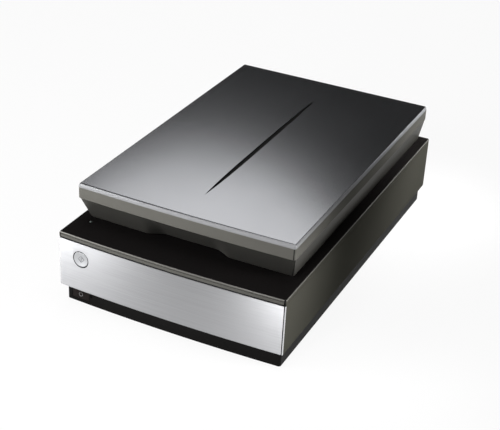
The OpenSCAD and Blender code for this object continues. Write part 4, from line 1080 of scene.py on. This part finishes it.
def build_world():
    """World that is white to the camera. Polished faces see its walls, of which the one behind the part is
    dark, and all other faces get very little light from it."""
    walls, rest = 0.35, 0.03
    dark_side = (-0.42, 0.91, 0)
    world = bpy.data.worlds.new("world")
    world.use_nodes = True
    nt = world.node_tree
    coord = nt.nodes.new("ShaderNodeTexCoord")
    toward = nt.nodes.new("ShaderNodeVectorMath")
    toward.operation = "DOT_PRODUCT"
    toward.inputs[1].default_value = dark_side
    nt.links.new(coord.outputs["Generated"], toward.inputs[0])
    lit = span(nt, toward.outputs["Value"], 1, 0, 0.4, 0.8)
    lit.node.interpolation_type = "SMOOTHSTEP"
    path, polished = polished_rays(nt)
    seen_walls = math_node(nt, "MULTIPLY", math_node(nt, "MULTIPLY", polished, lit), walls)
    strength = math_node(nt, "MAXIMUM", math_node(nt, "ADD", seen_walls, rest), path.outputs["Is Camera Ray"])
    nt.nodes["Background"].inputs["Color"].default_value = (1, 1, 1, 1)
    nt.links.new(strength, nt.nodes["Background"].inputs["Strength"])
    bpy.context.scene.world = world


build_floor()
build_world()


# ---------------------------------------------------------------- lamps, in metres
def area_lamp(name, centre, facing, size, radiance, shape="RECTANGLE", spread=180):
    """Even lamp of that size, standing at the centre and facing a point; a spread below 180 is a grid."""
    data = bpy.data.lights.new(name, "AREA")
    data.shape = shape
    data.size, data.size_y = size
    area = size[0] * size[1] * (math.pi / 4 if shape == "ELLIPSE" else 1)
    data.energy = radiance * math.pi * area
    if spread < 180:
        half = math.radians(spread / 2)
        data.spread = 2 * half
        data.energy *= 1 - half / math.tan(half)
    lamp = bpy.data.objects.new(name, data)
    lamp.location = centre
    lamp.rotation_euler = (Vector(centre) - Vector(facing)).to_track_quat("Z", "Y").to_euler()
    bpy.context.scene.collection.objects.link(lamp)


def around(az, el, dist, side):
    """Point at that azimuth from +X, elevation and distance from the part's middle, shifted sideways."""
    a, e = math.radians(az), math.radians(el)
    flat, middle_z = math.cos(e) * dist, 0.1
    x, y = flat * math.cos(a) - side * math.sin(a), flat * math.sin(a) + side * math.cos(a)
    return x, y, middle_z + math.sin(e) * dist


area_lamp("rear_lamp", around(118, 45, 2.5, 0.06), (0, 0, 0.1), (1.26, 1.54), 2.7, "ELLIPSE")
area_lamp("top_lamp", (0.1, -0.1, 2.6), (0, 0, 0.1), (1.9, 1.9), 2.4)
area_lamp("left_lamp", (-0.92, -0.97, 0.47), (-0.05, -0.2, 0.3), (0.7, 0.9), 7.4)
area_lamp("band_lamp", (-0.75, -0.6, 0.25), (-0.12, -0.245, 0.14), (0.15, 0.15), 180.0, spread=20)
area_lamp("right_lamp", (0.36, 0.42, 0.3), (0.154, 0.22, 0.08), (0.2, 0.2), 75.0, spread=40)
area_lamp("side_lamp", (0.5, -0.16, 0.16), (0.154, -0.27, 0.085), (0.18, 0.18), 50.0, spread=48)
area_lamp("front_lamp", (-0.06, -1.29, 0.47), (0.05, -0.2, 0.3), (0.16, 0.9), 13.0)


# ---------------------------------------------------------------- camera, fitted to the photograph's edges
def build_camera():
    """Camera that looks at a point of the part from that azimuth off the front, with a shift and a roll."""
    az, el, roll = (math.radians(angle) for angle in (24.803, 29.21, 3.093))
    middle, distance, shift_x, shift_y = Vector((0, 0, 70)), 1641.461, -10.391, -19.274
    back = Vector((math.sin(az) * math.cos(el), -math.cos(az) * math.cos(el), math.sin(el)))
    right = Vector((math.cos(az), math.sin(az), 0))
    up = back.cross(right)
    eye = (middle + back * distance + right * shift_x + up * shift_y) * MM
    rolled_right = math.cos(roll) * right + math.sin(roll) * up
    rolled_up = -math.sin(roll) * right + math.cos(roll) * up
    data = bpy.data.cameras.new("camera")
    data.sensor_width = 36
    data.lens = 87.211
    data.clip_start = 0.05
    data.clip_end = 50
    camera = bpy.data.objects.new("camera", data)
    axes = Matrix((rolled_right, rolled_up, back)).transposed()
    camera.matrix_world = Matrix.Translation(eye) @ axes.to_4x4()
    bpy.context.scene.collection.objects.link(camera)
    return camera


bpy.context.scene.camera = build_camera()
bpy.context.scene.view_settings.view_transform = "Standard"
